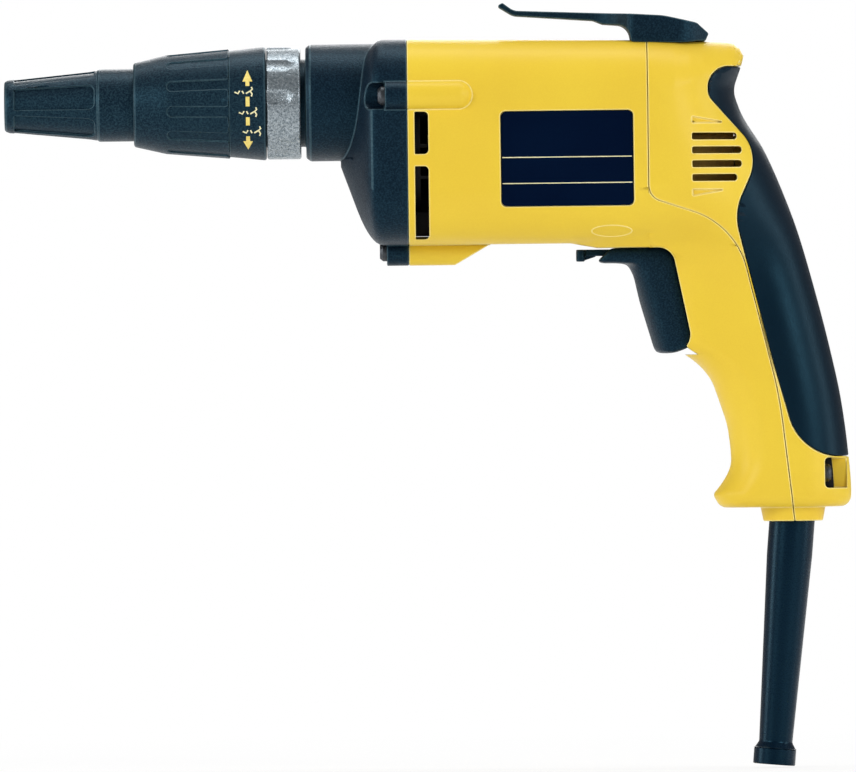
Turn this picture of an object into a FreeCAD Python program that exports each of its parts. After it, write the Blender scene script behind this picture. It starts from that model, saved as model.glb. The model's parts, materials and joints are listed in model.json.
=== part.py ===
import FreeCAD
import Part
import math
import os
from FreeCAD import Vector

# Corded drywall screwdriver, in millimetres.
# X runs along the spindle from the nose back, Z is up, and Y goes across to the right-hand side.
# The origin is the mouth of the bit socket, on the spindle's axis.

os.makedirs("parts", exist_ok=True)

# Lengths along the spindle's axis
nose_reach = 15.0           # nosepiece ahead of the bit socket's mouth
nosepiece_length = 47.8     # nosepiece from its tip to the depth collar
collar_length = 49.0
ring_length = 12.8
ring_gap = 1.9              # bare snout between the lock ring and the gear case
case_length = 37.5          # gear case behind that gap
barrel_length = 88.5        # motor housing between the gear case and the rear cover

# Fits
running_gap = 0.05          # radial, shafts in their bushes
turning_gap = 0.08          # radial, the collar on the snout and the nosepiece in the collar
seat_gap = 0.10             # pieces fixed to each other
seam_gap = 0.25             # open line between the two housing halves and around the grip pad
loose_gap = 0.5             # pieces that pass each other freely

# Gear pair, and with it the drop from the spindle to the motor's axis
gear_module = 0.75
pinion_teeth = 8
gear_teeth = 32
pressure_angle = 25.0
profile_shift = 0.3
addendum = 0.85
dedendum = 1.25
tooth_play = 0.10
gear_width = 10.0

# Motor barrel
barrel_half_width = 34.0
barrel_rise = 37.8          # top above the motor's axis
barrel_fall = 38.0          # underside below the motor's axis
barrel_corner = 20.0
barrel_slope = 1.3          # fall of the top line over the barrel's length
rear_slope = 1.0            # further fall over the rear cover
rear_round = 6.0            # rounding of the rear cover's top edge
wall = 3.0

# Handle
handle_half_width = 17.0
handle_drop = 98.5          # below the barrel's underside
handle_front_round = 15.0
handle_rear_round = 18.0
handle_floor = 4.0
toe_round = 4.0
dome_start = 3.5            # behind the seam, where the rear of the barrel starts to round off
dome_low = 51.0             # above the barrel's underside, where the arch over the dome ends

# Edges of the handle and of the rear cover in side view: height above the barrel's underside, and
# reach behind the seam
rear_edge = [(-98.5, 73.6), (-92.5, 74.0), (-78.0, 73.0), (-59.5, 70.7), (-37.3, 66.1), (-15.0, 60.5),
             (3.6, 55.2), (18.4, 49.8), (33.3, 43.3), (48.2, 34.6), (55.6, 32.5), (63.8, 34.8),
             (68.0, 36.0), (80.0, 36.0)]
front_edge = [(-98.5, 24.2), (-92.3, 23.7), (-88.5, 27.0), (-81.0, 29.7), (-70.0, 28.7), (-59.0, 25.5),
              (-51.5, 22.7), (-46.0, 18.5), (-41.5, 12.8), (-37.0, 7.0), (-27.0, 4.0), (-7.0, 2.0),
              (0.0, -8.0), (80.0, -8.0)]

# Half width of the handle's flare into the barrel: height above the underside, part of the way from
# the handle's half width to the barrel's
heel_flare = [(-20.0, 0.0), (-10.0, 0.06), (-4.0, 0.18), (0.0, 0.33), (4.0, 0.55), (9.0, 0.80), (14.0, 0.94),
              (20.0, 1.0)]

# Apron under the barrel ahead of the heel: reach behind the seam, height of its underside, half width there
# and half width where it meets the barrel
apron_frames = [(-32.0, 0.6, 12.0, 24.6), (-18.5, -1.9, 16.5, 25.4), (0.6, -1.9, 20.4, 25.6)]
apron_height = 4.0          # where it meets the barrel

# Seam between the two housing halves below the barrel's middle: height above the underside, reach
# behind the vertical part of the seam, radius
seam_turns = [(16.4, 0.0, 6.0), (5.8, 32.1, 31.0), (-57.5, 47.5, 150.0), (-106.0, 53.0, 0.0)]

# Soft grip pad at the back, in the same measures
grip_depth = 2.2
grip_turns = [(64.6, 60.0, 0.0), (64.6, 27.0, 7.5), (59.9, 22.3, 7.5), (53.5, 22.4, 6.0),
              (32.3, 41.5, 15.0), (10.5, 31.5, 20.0), (-44.4, 45.2, 150.0), (-81.6, 55.6, 20.0),
              (-78.4, 90.0, 0.0), (64.6, 90.0, 0.0)]

# Trigger opening and trigger, in the same measures
notch_turns = [(-2.05, -20.0, 0.0), (-2.05, 9.9, 7.0), (-41.9, 17.6, 5.0), (-41.9, -20.0, 0.0)]
cheek_turns = [(-2.05, -20.0, 0.0), (-2.05, 8.6, 6.4), (-41.2, 16.6, 7.0), (-41.2, -20.0, 0.0)]
trigger_turns = [(-7.7, -20.3, 0.8), (-1.5, -13.8, 2.0), (-1.5, 9.0, 6.0), (-38.4, 17.0, 4.5),
                 (-41.2, 9.0, 3.0), (-41.2, 2.1, 1.8), (-22.5, -3.4, 25.0), (-7.5, -6.6, 7.0)]
trigger_half_width = 11.8
finger_round = 7.0          # rounding of the finger's front edges, from front to back
lip_round = 4.5
trigger_travel = 6.5
stem_size = 9.0
stem_reach = 34.5           # behind the seam, to the stem's end in the switch
stem_drop = 19.0            # below the barrel's underside

# Reversing lever
lever_thickness = 2.4
lever_drop = 2.5            # its top, below the barrel's underside
lever_half_width = 4.0
lever_front = 26.7          # its tip, ahead of the seam
lever_pivot = 30.0          # its pivot, behind the seam
lever_pivot_radius = 2.5
lever_channel = 9.3         # half width of the channel in the trigger that it swings in

# Switch
switch_front = 24.5         # behind the seam
switch_depth = 21.0
switch_half_width = 12.0
switch_height = 28.0

# Cord entry
relief_lean = 4.9           # degrees from upright
relief_back = 52.4          # axis behind the seam, at the handle's foot
relief_length = 95.6
relief_top_radius = 8.4
relief_end_radius = 6.1
relief_rim_radius = 7.8
cord_radius = 4.1
foot_collar_radius = 12.2
foot_collar_height = 5.2

# Nosepiece
nose_tip_radius = 10.0
nose_shoulder = 34.4        # behind its tip, where the taper ends
nose_radius = 13.4
nose_mouth = 7.2            # radius of the hole at the tip
nose_bore = 10.6
nose_hidden = 23.2          # length inside the collar
panel_count = 6
panel_depth = 0.8
panel_front_width = 7.9
panel_rear_width = 9.3
panel_corner = 2.4
panel_phase = 15.0          # degrees from the top

# Depth collar and lock ring
collar_front_radius = 15.6
collar_mid_radius = 17.9
collar_rear_radius = 21.0
groove_count = 12           # grooves between the collar's finger pads
groove_width = 3.9
groove_start = 12.0         # behind the collar's front
groove_length = 23.5
groove_depth = 0.6
groove_phase = 9.0          # degrees from the top
pad_corner = 2.0
ring_radius = 20.7
flute_count = 10
flute_depth = 0.7
flute_radius = 8.0
flute_length = 10.2
flute_end = 2.6             # sloping end of each flute
flute_phase = 11.7          # degrees from the top

# Gear case
snout_radius = 16.2
snout_reach = 34.5          # ahead of the gear case's front
case_radius = 21.6
case_full = 14.2            # length at the barrel's full section
case_cone = 12.0            # length of the flare ahead of it
flare_middle = -20.0        # height of the point that the flare runs to
flare_end = 10.6            # where the flare is cut off, inside the round part
ridge_round = 2.0           # half length of the rounding between them, at the sides
ridge_round_ends = 5.0      # the same, on top and underneath
ear_radius = 5.2
ear_spread = 33.0           # side ears, from the middle
ear_height = 1.9            # side ears, above the spindle
ear_drop = 40.4             # lower ear, below the motor's axis
ear_length = 8.2
boss_length = 24.0          # the ears' partners on the motor housing
boss_flat = 17.0            # level part of the lower one
boss_slope = 30.0           # degrees, the rest of it
screw_radius = 2.0
screw_head_radius = 3.5
screw_head_height = 2.6
screw_length = 24.0

# Spindle and bit holder
spindle_radius = 7.0
spindle_rear_radius = 5.0
flange_radius = 12.4
flange_width = 3.0
bush_radius = 10.0
bush_length = 20.0
dog_count = 3
dog_angle = 48.0
dog_inner = 9.6
dog_height = 2.2
clutch_gap = 0.8            # between the dogs at rest
spring_radius = 7.6
spring_wire = 1.0
spring_turns = 1.75
hex_size = 6.35             # across flats
hex_play = 0.10
socket_depth = 12.0
holder_radius = 5.6
holder_length = 32.0
shank_length = 25.0
magnet_radius = 2.6
magnet_length = 3.0

# Motor
shaft_radius = 4.0
shaft_core_radius = 5.0
shaft_rear_radius = 3.5
core_radius = 17.5
core_length = 38.0
core_start = 18.0           # behind the gear case
slot_count = 12
air_gap = 0.8
field_length = 42.0
field_yoke = 6.0
coil_end = 3.4
commutator_radius = 11.5
commutator_length = 12.0
bar_count = 24
fan_radius = 28.0
fan_blades = 14
fan_width = 9.0
front_bearing_radius = 11.0
front_bearing_width = 7.0
rear_bearing_radius = 9.5
rear_bearing_width = 6.0
brush_width = 6.4
brush_height = 9.0
brush_length = 13.0

# Nameplate
plate_start = 34.3          # behind the gear case
plate_length = 48.8
plate_height = 35.0
plate_drop = 6.9            # its middle, below the motor's axis
plate_thickness = 1.0
plate_corner = 2.0

# Vents
front_vent_start = 2.6      # behind the gear case
front_vent_width = 5.0
front_vents = [(-4.7, 10.9), (-36.1, -9.2)]     # lower and upper ends, from the motor's axis
front_vent_corner = 1.6
rear_vent_start = 16.3      # behind the seam
rear_vent_count = 4
rear_vent_width = 2.5
rear_vent_pitch = 5.1
rear_vent_top = -14.3       # middle of the first one
rear_vent_length = 16.5

# Belt hook
hook_half_width = 9.0
hook_base_half_width = 20.0

# Stations along X
x_tip = -nose_reach
x_collar = x_tip + nosepiece_length
x_ring = x_collar + collar_length
x_case = x_ring + ring_length + ring_gap
x_joint = x_case + case_length
x_seam = x_joint + barrel_length
x_snout = x_case - snout_reach
x_core = x_joint + core_start

# Levels
motor_drop = gear_module * (pinion_teeth + gear_teeth) / 2
z_motor = -motor_drop
z_under = z_motor - barrel_fall
z_foot = z_under - handle_drop


# Basic shapes
def rod(x0, x1, radius, y=0.0, z=0.0):
    return Part.makeCylinder(radius, x1 - x0, Vector(x0, y, z), Vector(1, 0, 0))


def pipe(x0, x1, outer, inner, z=0.0):
    return rod(x0, x1, outer, 0.0, z).cut(rod(x0 - 1, x1 + 1, inner, 0.0, z))


def block(x0, x1, y0, y1, z0, z1):
    return Part.makeBox(x1 - x0, y1 - y0, z1 - z0, Vector(x0, y0, z0))


def lathe(points, z=0.0, angle=360.0):
    # Profile of (x, radius), turned about an axis along X at height z.
    corners = [Vector(x, 0, z + r) for x, r in points]
    face = Part.Face(Part.makePolygon(corners + [corners[0]]))
    return face.revolve(Vector(0, 0, z), Vector(1, 0, 0), angle)


def turned(shape, angle, z=0.0):
    copy = shape.copy()
    copy.rotate(Vector(0, 0, z), Vector(1, 0, 0), angle)
    return copy


def ring_of(shape, count, z=0.0, start=0.0):
    return [turned(shape, start + 360.0 * i / count, z) for i in range(count)]


def joined(shapes):
    first = shapes[0]
    if len(shapes) > 1:
        first = first.fuse(shapes[1:])
    return first.removeSplitter()


def mirrored(shape):
    return shape.mirror(Vector(0, 0, 0), Vector(0, 1, 0))


def both_sides(shape):
    return [shape, mirrored(shape)]


def outline(corners, place):
    # Closed line through corners of (a, b, radius); place turns (a, b) into a point.
    flat = [Vector(a, b, 0) for a, b, r in corners]
    count = len(corners)
    starts, mids, ends = [], [], []
    for i in range(count):
        here = flat[i]
        before = flat[i - 1] - here
        after = flat[(i + 1) % count] - here
        radius = corners[i][2]
        half = before.getAngle(after) / 2
        if radius <= 0 or abs(half - math.pi / 2) < 1e-6:
            starts.append(here)
            mids.append(None)
            ends.append(here)
            continue
        reach = min(radius / math.tan(half), 0.49 * before.Length, 0.49 * after.Length)
        radius = reach * math.tan(half)
        before.normalize()
        after.normalize()
        middle = before + after
        middle.normalize()
        starts.append(here + before * reach)
        mids.append(here + middle * (radius / math.sin(half) - radius))
        ends.append(here + after * reach)
    edges = []
    for i in range(count):
        if mids[i] is not None:
            arc = [place(p.x, p.y) for p in (starts[i], mids[i], ends[i])]
            edges.append(Part.Arc(arc[0], arc[1], arc[2]).toShape())
        a, b = ends[i], starts[(i + 1) % count]
        if a.distanceToPoint(b) > 1e-6:
            edges.append(Part.makeLine(place(a.x, a.y), place(b.x, b.y)))
    return Part.Wire(edges)


def side_prism(corners, y0, y1, grow=0.0):
    # Outline in side view, (x, z, radius), drawn out across the tool.
    wire = outline(corners, lambda a, b: Vector(a, y0, b))
    if grow:
        wire = wire.makeOffset2D(grow)
    return Part.Face(wire).extrude(Vector(0, y1 - y0, 0))


def cross_prism(corners, x0, x1):
    # Outline across the tool, (y, z, radius), drawn out along X.
    wire = outline(corners, lambda a, b: Vector(x0, a, b))
    return Part.Face(wire).extrude(Vector(x1 - x0, 0, 0))


def plan_prism(corners, z0, z1):
    # Outline in plan, (x, y, radius), drawn out upwards.
    wire = outline(corners, lambda a, b: Vector(a, b, z0))
    return Part.Face(wire).extrude(Vector(0, 0, z1 - z0))


def from_seam(turns):
    # Side-view corners from (height above the underside, reach behind the seam, radius).
    return [(x_seam + reach, z_under + height, radius) for height, reach, radius in turns]


def hexagon(x0, x1, size):
    radius = size / math.sqrt(3)
    points = [Vector(x0, radius * math.sin(i * math.pi / 3), radius * math.cos(i * math.pi / 3))
              for i in range(6)]
    face = Part.Face(Part.makePolygon(points + [points[0]]))
    return face.extrude(Vector(x1 - x0, 0, 0))


def screw(length, radius, head_radius, head_height):
    # Pan head at X = 0 reaching to -X, shank to +X, hex socket in the head.
    head = lathe([(0.0, 0.0), (0.0, head_radius), (-head_height * 0.55, head_radius),
                  (-head_height, head_radius * 0.72), (-head_height, 0.0)])
    shank = lathe([(-0.1, 0.0), (-0.1, radius), (length - radius, radius), (length, radius * 0.4),
                   (length, 0.0)])
    drive = hexagon(-head_height - 1.0, -head_height + head_height * 0.6, head_radius * 0.95)
    return head.fuse(shank).cut(drive)


# Smooth line through points of (t, value), without overshoot between them
def smooth(points, t):
    spans = list(zip(points[:-1], points[1:]))
    rates = [(b[1] - a[1]) / (b[0] - a[0]) for a, b in spans]
    slopes = [rates[0]]
    for low, high in zip(rates[:-1], rates[1:]):
        slopes.append(0.0 if low * high <= 0 else 2 * low * high / (low + high))
    slopes.append(rates[-1])
    t = min(max(t, points[0][0]), points[-1][0])
    for i, (a, b) in enumerate(spans):
        if t <= b[0]:
            run = b[0] - a[0]
            s = (t - a[0]) / run
            keep = (1 + 2 * s) * (1 - s) ** 2 * a[1] + s * (1 - s) ** 2 * run * slopes[i]
            gain = s * s * (3 - 2 * s) * b[1] + s * s * (s - 1) * run * slopes[i + 1]
            return keep + gain
    return points[-1][1]


# Housing body
def flare(height):
    # Part of the way from the handle's half width to the barrel's, 0 to 1.
    return min(max(smooth(heel_flare, height), 0.0), 1.0)


def quarter(start, end, corner):
    # Quarter of an ellipse between two points, inside their corner.
    bend = 0.5523
    curve = Part.BezierCurve()
    curve.setPoles([start, start + (corner - start) * bend, end + (corner - end) * bend, end])
    return curve.toShape()


def rear_section(height, side, back):
    # Level cut of the rear body: flat sides with an elliptical front and back.
    share = flare(height - 0.8 * side)
    half = handle_half_width + (barrel_half_width - handle_half_width) * share - side
    x0 = x_seam + smooth(front_edge, height) + side
    x1 = x_seam + smooth(rear_edge, height) - back
    front_run = handle_front_round * (1 - share) + share
    rear_run = handle_rear_round * (1 - share) + (x1 - x_seam - dome_start) * share
    z = z_under + height
    nose = Vector(x0, 0, z)
    tail = Vector(x1, 0, z)
    a = Vector(x0 + front_run, half, z)
    b = Vector(x1 - rear_run, half, z)
    c = Vector(b.x, -half, z)
    d = Vector(a.x, -half, z)
    return Part.Wire([quarter(nose, a, Vector(x0, half, z)), Part.makeLine(a, b),
                      quarter(b, tail, Vector(x1, half, z)), quarter(tail, c, Vector(x1, -half, z)),
                      Part.makeLine(c, d), quarter(d, nose, Vector(x0, -half, z))])


def rear_levels(lowest):
    # Heights of the level cuts, evenly spaced.
    top = barrel_rise + barrel_fall + 4.2
    count = 60
    return [lowest + (top - lowest) * i / count for i in range(count + 1)]


def above_rear(side, back):
    # What lies above the rear cover's arched top. The arch falls slightly to the rear, narrows as the
    # dome does, and rolls over at its end.
    end = rear_edge[-1][1] - back

    def frame(reach):
        share = min(max((reach - dome_start) / (end - dome_start), 0.0), 0.99)
        roll = min(max(reach - end + rear_round, 0.0), 0.98 * rear_round)
        fall = barrel_slope + rear_slope * reach / 30 + rear_round - math.sqrt(rear_round ** 2 - roll ** 2)
        top = z_motor + barrel_rise - fall - side
        half = (barrel_half_width - side) * math.sqrt(1 - share ** 2) + 0.2
        corner = min(barrel_corner - side, 0.96 * half)
        low = z_motor + barrel_rise - 2.4 * barrel_corner
        high = z_motor + barrel_rise + 30.0
        wide = barrel_half_width + 30.0
        corners = [(half, low, 0), (half, top, corner), (-half, top, corner), (-half, low, 0), (-wide, low, 0),
                   (-wide, high, 0), (wide, high, 0), (wide, low, 0)]
        return outline(corners, lambda a, b: Vector(x_seam + reach, a, b))

    first = [-1.0, dome_start]
    steps = [0.2, 0.38, 0.54, 0.68, 0.8, 0.89, 0.96, 1.0]
    reaches = first + [dome_start + (end - dome_start) * s for s in steps] + [end + 60.0]
    arch = Part.makeLoft([frame(r) for r in reaches], True, True)
    return arch.common(block(x_seam - 5, x_seam + 100, -70, 70, z_under + dome_low, z_under + 120))


def rear_body(side, back, floor=0.0):
    levels = rear_levels(-handle_drop + floor)
    body = Part.makeLoft([rear_section(h, side, back) for h in levels], True, False, False, 2)
    body = body.common(block(x_seam, x_seam + 100, -60, 60, z_foot - 5, z_under + 100))
    return body.cut(above_rear(side, back))


def barrel_frame(x, inset):
    share = min(max((x - x_joint) / barrel_length, 0.0), 1.0)
    top = z_motor + barrel_rise - barrel_slope * share - inset
    low = z_under + inset
    half = barrel_half_width - inset
    corner = barrel_corner - inset
    return [(-half, low, corner), (half, low, corner), (half, top, corner), (-half, top, corner)]


def barrel_wire(x, inset):
    return outline(barrel_frame(x, inset), lambda a, b: Vector(x, a, b))


def barrel_body(inset):
    return Part.makeLoft([barrel_wire(x_joint, inset), barrel_wire(x_seam, inset)], True, True)


def tapped_boss(x0, x1, radius, y, z):
    # Round boss along X with a rounded rear end.
    end = Part.makeSphere(radius, Vector(x1 - radius, y, z))
    return rod(x0, x1 - radius, radius, y, z).fuse(end)


ears = [(ear_spread, ear_height), (-ear_spread, ear_height), (0.0, z_motor - ear_drop)]
lean = math.tan(math.radians(relief_lean))
relief_top = Vector(x_seam + relief_back, 0, z_foot)
relief_axis = Vector(-math.sin(math.radians(relief_lean)), 0, -math.cos(math.radians(relief_lean)))


def along_relief(start, end, radius, end_radius=None):
    # Round piece on the strain relief's axis, from start to end below the handle's foot.
    base = relief_top + relief_axis * start
    if end_radius is None or abs(end_radius - radius) < 1e-9:
        return Part.makeCylinder(radius, end - start, base, relief_axis)
    return Part.makeCone(radius, end_radius, end - start, base, relief_axis)


outer_rear = rear_body(0.0, 0.0)
outer_barrel = barrel_body(0.0)
inner_rear = rear_body(wall, wall + grip_depth, handle_floor)
inner_barrel = barrel_body(wall)

# Foot: rounded lower edge and the collar around the cord's way out
foot_edges = [e for e in outer_rear.Edges if e.BoundBox.ZMax < z_foot + 0.01]
outer_rear = outer_rear.makeFillet(toe_round, foot_edges)
foot_collar = Part.makeCone(foot_collar_radius, foot_collar_radius * 0.9, foot_collar_height + 1.0,
                            Vector(x_seam + relief_back, 0, z_foot + 1.0), Vector(0, 0, -1))
outer_rear = outer_rear.fuse(foot_collar)

seam_corners = [(x_seam - 160, z_under + 100, 0), (x_seam, z_under + 100, 0)] + from_seam(seam_turns)
seam_corners.append((x_seam - 160, z_under + seam_turns[-1][0], 0))
front_side = side_prism(seam_corners, -80, 80)
back_side = block(x_seam - 5, x_seam + 140, -80, 80, z_under + seam_turns[-1][0], z_under + 100)
back_side = back_side.cut(front_side.translated(Vector(seam_gap, 0, 0)))

relief_hole = along_relief(-12.0, 12.0, relief_top_radius + seat_gap)
relief_groove = along_relief(-handle_floor - 4.4 - seat_gap, -handle_floor + 0.2, 10.4 + seat_gap)

rear_shell = outer_rear.cut(inner_rear)
heel_shell = rear_shell.common(front_side)
cover_shell = rear_shell.common(back_side)
barrel_shell = outer_barrel.cut(inner_barrel)
inside = inner_barrel.fuse(inner_rear)

# Apron that leads the barrel's underside into the heel


def apron_wire(reach, height, half, wide):
    spots = [(-half, height), (half, height), (wide, apron_height), (-wide, apron_height)]
    points = [Vector(x_seam + reach, y, z_under + h) for y, h in spots]
    return Part.makePolygon(points + [points[0]])


apron = Part.makeLoft([apron_wire(*frame) for frame in apron_frames], True, True).cut(inside)

# Motor housing
housing = barrel_shell.fuse([heel_shell, apron])
for y, z in ears:
    drop = boss_length if z > z_motor else boss_length + 6
    boss = tapped_boss(x_joint, x_joint + drop, ear_radius, y, z)
    if z < z_motor:
        slope = block(0, 30, -20, 20, -30, 0)
        slope.rotate(Vector(0, 0, 0), Vector(0, 1, 0), -boss_slope)
        slope.translate(Vector(x_joint + boss_flat, 0, z - ear_radius))
        boss = rod(x_joint, x_joint + drop, ear_radius, y, z).cut(slope)
    housing = housing.fuse(boss)
clamp_top = z_foot + 28.2
clamp_low = z_foot + 17.2
clamp_face = x_seam + smooth(front_edge, -handle_drop + 20) + 19.5
clamp_seat = block(x_seam, clamp_face, -20, 20, clamp_low, clamp_top).common(inner_rear)
cover_screw_y = 10.4
cover_screw_z = z_foot + 12.5
pocket_x = x_seam + smooth(rear_edge, -handle_drop + 12.5) - 9.6
post = joined(both_sides(rod(x_seam + 30, pocket_x, 4.6, cover_screw_y, cover_screw_z)))
post = post.common(inner_rear)
housing = housing.fuse([clamp_seat, post.common(front_side)])
way_half = trigger_half_width + loose_gap
notch = side_prism(from_seam(notch_turns), -way_half, way_half)
cheeks = side_prism(from_seam(cheek_turns), -60, 60)
channel = block(x_seam + trigger_turns[1][1] - 3.0, x_seam + 5.0, -way_half, way_half, z_under - 3.0,
                z_under + trigger_turns[1][0] + loose_gap)
trigger_way = block(x_seam + 4.0, x_seam + trigger_turns[3][1] + trigger_travel + 0.8, -way_half, way_half,
                    z_under + trigger_turns[4][0] - loose_gap, z_under + trigger_turns[1][0] + 0.2)
housing = housing.cut([notch, cheeks, channel, trigger_way])
for y, z in ears:
    housing = housing.cut(rod(x_joint - 1, x_joint + 18.5, screw_radius + seat_gap, y, z))
vents = []
for low, high in front_vents:
    x0 = x_joint + front_vent_start
    x1 = x0 + front_vent_width
    shape = [(x0, z_motor + low, 0.3), (x1, z_motor + low, front_vent_corner),
             (x1, z_motor + high, front_vent_corner), (x0, z_motor + high, 0.3)]
    vents += both_sides(side_prism(shape, 12, 60))
housing = housing.cut(vents)


def plate_outline(grow):
    x0 = x_joint + plate_start - grow
    x1 = x_joint + plate_start + plate_length + grow
    middle = z_motor - plate_drop
    half = plate_height / 2 + grow
    return [(x0, middle - half, plate_corner), (x1, middle - half, plate_corner),
            (x1, middle + half, plate_corner), (x0, middle + half, plate_corner)]


plate_face = barrel_half_width - 1.0
pocket_floor = plate_face - plate_thickness - 0.02
housing = housing.cut(both_sides(side_prism(plate_outline(seat_gap), pocket_floor, 60)))
clamp_holes = [rod(clamp_face - 12, clamp_face + 1, 1.5 + seat_gap, y, (clamp_top + clamp_low) / 2)
               for y in (7.4, -7.4)]
cord_way = along_relief(-40.0, 2.0, cord_radius + 0.2)
housing = housing.cut(clamp_holes + [cord_way, relief_hole, relief_groove])
cover_holes = [rod(pocket_x - 24, pocket_x + 1, 1.8 + seat_gap, y, cover_screw_z)
               for y in (cover_screw_y, -cover_screw_y)]
housing = housing.cut(cover_holes)

# Rear cover
grip_back = rear_body(grip_depth + seat_gap, grip_depth + seat_gap)
grip_region = side_prism(from_seam(grip_turns), -60, 60)
cover = cover_shell
cover = cover.fuse(post.common(back_side))
cover = cover.cut(grip_region.cut(grip_back))
slots = []
for k in range(rear_vent_count):
    middle = rear_vent_top - k * rear_vent_pitch
    edge = x_seam + rear_vent_start + rear_vent_length + (1.8 if k in (1, 2) else 0.0)
    x0 = x_seam + rear_vent_start
    half = rear_vent_width / 2
    slots.append(side_prism([(x0, middle - half, 0.6), (edge, middle - half, 1.1), (edge, middle + half, 1.1),
                             (x0, middle + half, 0.6)], -60, 60))
cover = cover.cut(slots)
blind_floor = rear_body(1.0, 1.0)
blinds = []
for middle, tip in ((rear_vent_top + rear_vent_pitch + 1.0, -0.9), (rear_vent_top - 4 * rear_vent_pitch - 0.4, 0.9)):
    x0 = x_seam + rear_vent_start
    half = rear_vent_width / 2
    blinds.append(side_prism([(x0, middle - half, 0.5), (x0 + 11.0, middle + tip - 0.2, 0.1),
                              (x0 + 11.0, middle + tip + 0.2, 0.1), (x0, middle + half, 0.5)], -60, 60))
cover = cover.cut([b.cut(blind_floor) for b in blinds])
pockets = []
for side in (1, -1):
    low = 5.6 * side
    high = 40.0 * side
    pocket = side_prism([(pocket_x, cover_screw_z - 5.6, 1.5), (pocket_x + 20, cover_screw_z - 5.6, 0),
                         (pocket_x + 20, cover_screw_z + 5.6, 0), (pocket_x, cover_screw_z + 5.6, 1.5)],
                        min(low, high), max(low, high))
    pockets.append(pocket)
pocket_limit = block(pocket_x - 1, pocket_x + 8.2, -60, 60, z_foot, z_under)
cover = cover.cut([p.common(pocket_limit) for p in pockets])
cover = cover.cut(cover_holes + [cord_way, relief_hole, relief_groove])

# Seat for the suppressor behind the rear bearing
seat_x = x_seam + 32.0
z_cap = rear_vent_top - rear_vent_pitch * (rear_vent_count - 1) / 2
cap_seat = block(seat_x, seat_x + 20, -5, 5, z_cap - 9.2, z_cap + 8).common(inner_rear)
cover = cover.fuse(cap_seat)

# Belt hook, its screw and the boss that takes the screw
hook_screw_x = x_seam + 10.5
hook_top = z_motor + barrel_rise - barrel_slope
hook_side = [(x_joint + 33.4, hook_top + 13.4, 0.7), (x_joint + 35.6, hook_top + 14.6, 0.7),
             (x_joint + 39.6, hook_top + 11.6, 6.0), (x_seam - 8.0, hook_top + 10.0, 20.0),
             (x_seam + 6.5, hook_top + 9.1, 20.0), (x_seam + 18.8, hook_top + 6.3, 3.0),
             (x_seam + 23.2, hook_top + 2.3, 0.8), (x_seam + 20.8, hook_top - 3.0, 0.5),
             (x_seam - 5.2, hook_top - 3.0, 0.5), (x_seam - 6.6, hook_top + 5.6, 5.0),
             (x_seam - 16.0, hook_top + 6.2, 1.5), (x_seam - 19.5, hook_top + 7.6, 3.0),
             (x_joint + 39.4, hook_top + 9.7, 6.0)]
hook_plan = [(x_joint + 30, -hook_half_width, 4.0), (x_seam - 14, -hook_half_width, 20.0),
             (x_seam - 6, -hook_base_half_width, 4.0), (x_seam + 16, -hook_base_half_width, 10.0),
             (x_seam + 26, -hook_half_width, 6.0), (x_seam + 26, hook_half_width, 6.0),
             (x_seam + 16, hook_base_half_width, 10.0), (x_seam - 6, hook_base_half_width, 4.0),
             (x_seam - 14, hook_half_width, 20.0), (x_joint + 30, hook_half_width, 4.0)]
hook = side_prism(hook_side, -40, 40).common(plan_prism(hook_plan, 0, 80))


def hook_seat(x):
    # Arch under the hook, its fall halfway between the barrel's and the rear cover's.
    fall = (barrel_slope / barrel_length + rear_slope / 30) / 2
    top = hook_top + seat_gap - fall * (x - x_seam)
    half = barrel_half_width + seat_gap
    corner = barrel_corner + seat_gap
    corners = [(-half, top - 50, 0), (half, top - 50, 0), (half, top, corner), (-half, top, corner)]
    return outline(corners, lambda a, b: Vector(x, a, b))


hook = hook.cut(Part.makeLoft([hook_seat(x_seam - 60), hook_seat(x_seam + 60)], True, True))
hook_hole = Part.makeCylinder(2.0 + seat_gap, 60, Vector(hook_screw_x, 0, 0), Vector(0, 0, 1))
hook_sink = Part.makeCylinder(3.9, 30, Vector(hook_screw_x, 0, hook_top + 3.0), Vector(0, 0, 1))
hook = hook.cut([hook_hole, hook_sink])
hook_screw = screw(15.0, 2.0, screw_head_radius, screw_head_height)
hook_screw.rotate(Vector(0, 0, 0), Vector(0, 1, 0), 90)
hook_screw.translate(Vector(hook_screw_x, 0, hook_top + 3.0))
hook_boss = Part.makeCylinder(4.6, 12.0, Vector(hook_screw_x, 0, hook_top - 14.0), Vector(0, 0, 1))
cover = cover.fuse(hook_boss.common(inner_rear))
cover = cover.cut(hook_hole.common(block(0, 400, -20, 20, hook_top - 13.0, 100)))

# Grip pad
pad_region = side_prism(from_seam(grip_turns), -60, 60, -seam_gap)
grip = outer_rear.common(pad_region).cut(rear_body(grip_depth, grip_depth))

nodes = {}
nodes["motor_housing"] = housing
nodes["rear_cover"] = cover
nodes["grip_pad"] = grip
nodes["belt_hook"] = hook
nodes["belt_hook_screw"] = hook_screw

# Suppressor
nodes["suppressor"] = cross_prism([(-9, z_cap - 11.5, 1.5), (9, z_cap - 11.5, 1.5), (9, z_cap + 9.5, 1.5),
                                   (-9, z_cap + 9.5, 1.5)], seat_x - 21.0, seat_x - 0.05)

# Nameplates
plate = side_prism(plate_outline(-seat_gap), plate_face - plate_thickness, plate_face)
nodes["nameplate_right"] = plate
nodes["nameplate_left"] = mirrored(plate)

# Cover screws
nodes["cover_screws"] = Part.makeCompound(
    [screw(22.0, 1.8, 3.3, 2.4).mirror(Vector(0, 0, 0), Vector(1, 0, 0)).translated(
        Vector(pocket_x, y, cover_screw_z)) for y in (cover_screw_y, -cover_screw_y)])

# Gear case
x_full = x_joint - case_full


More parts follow.
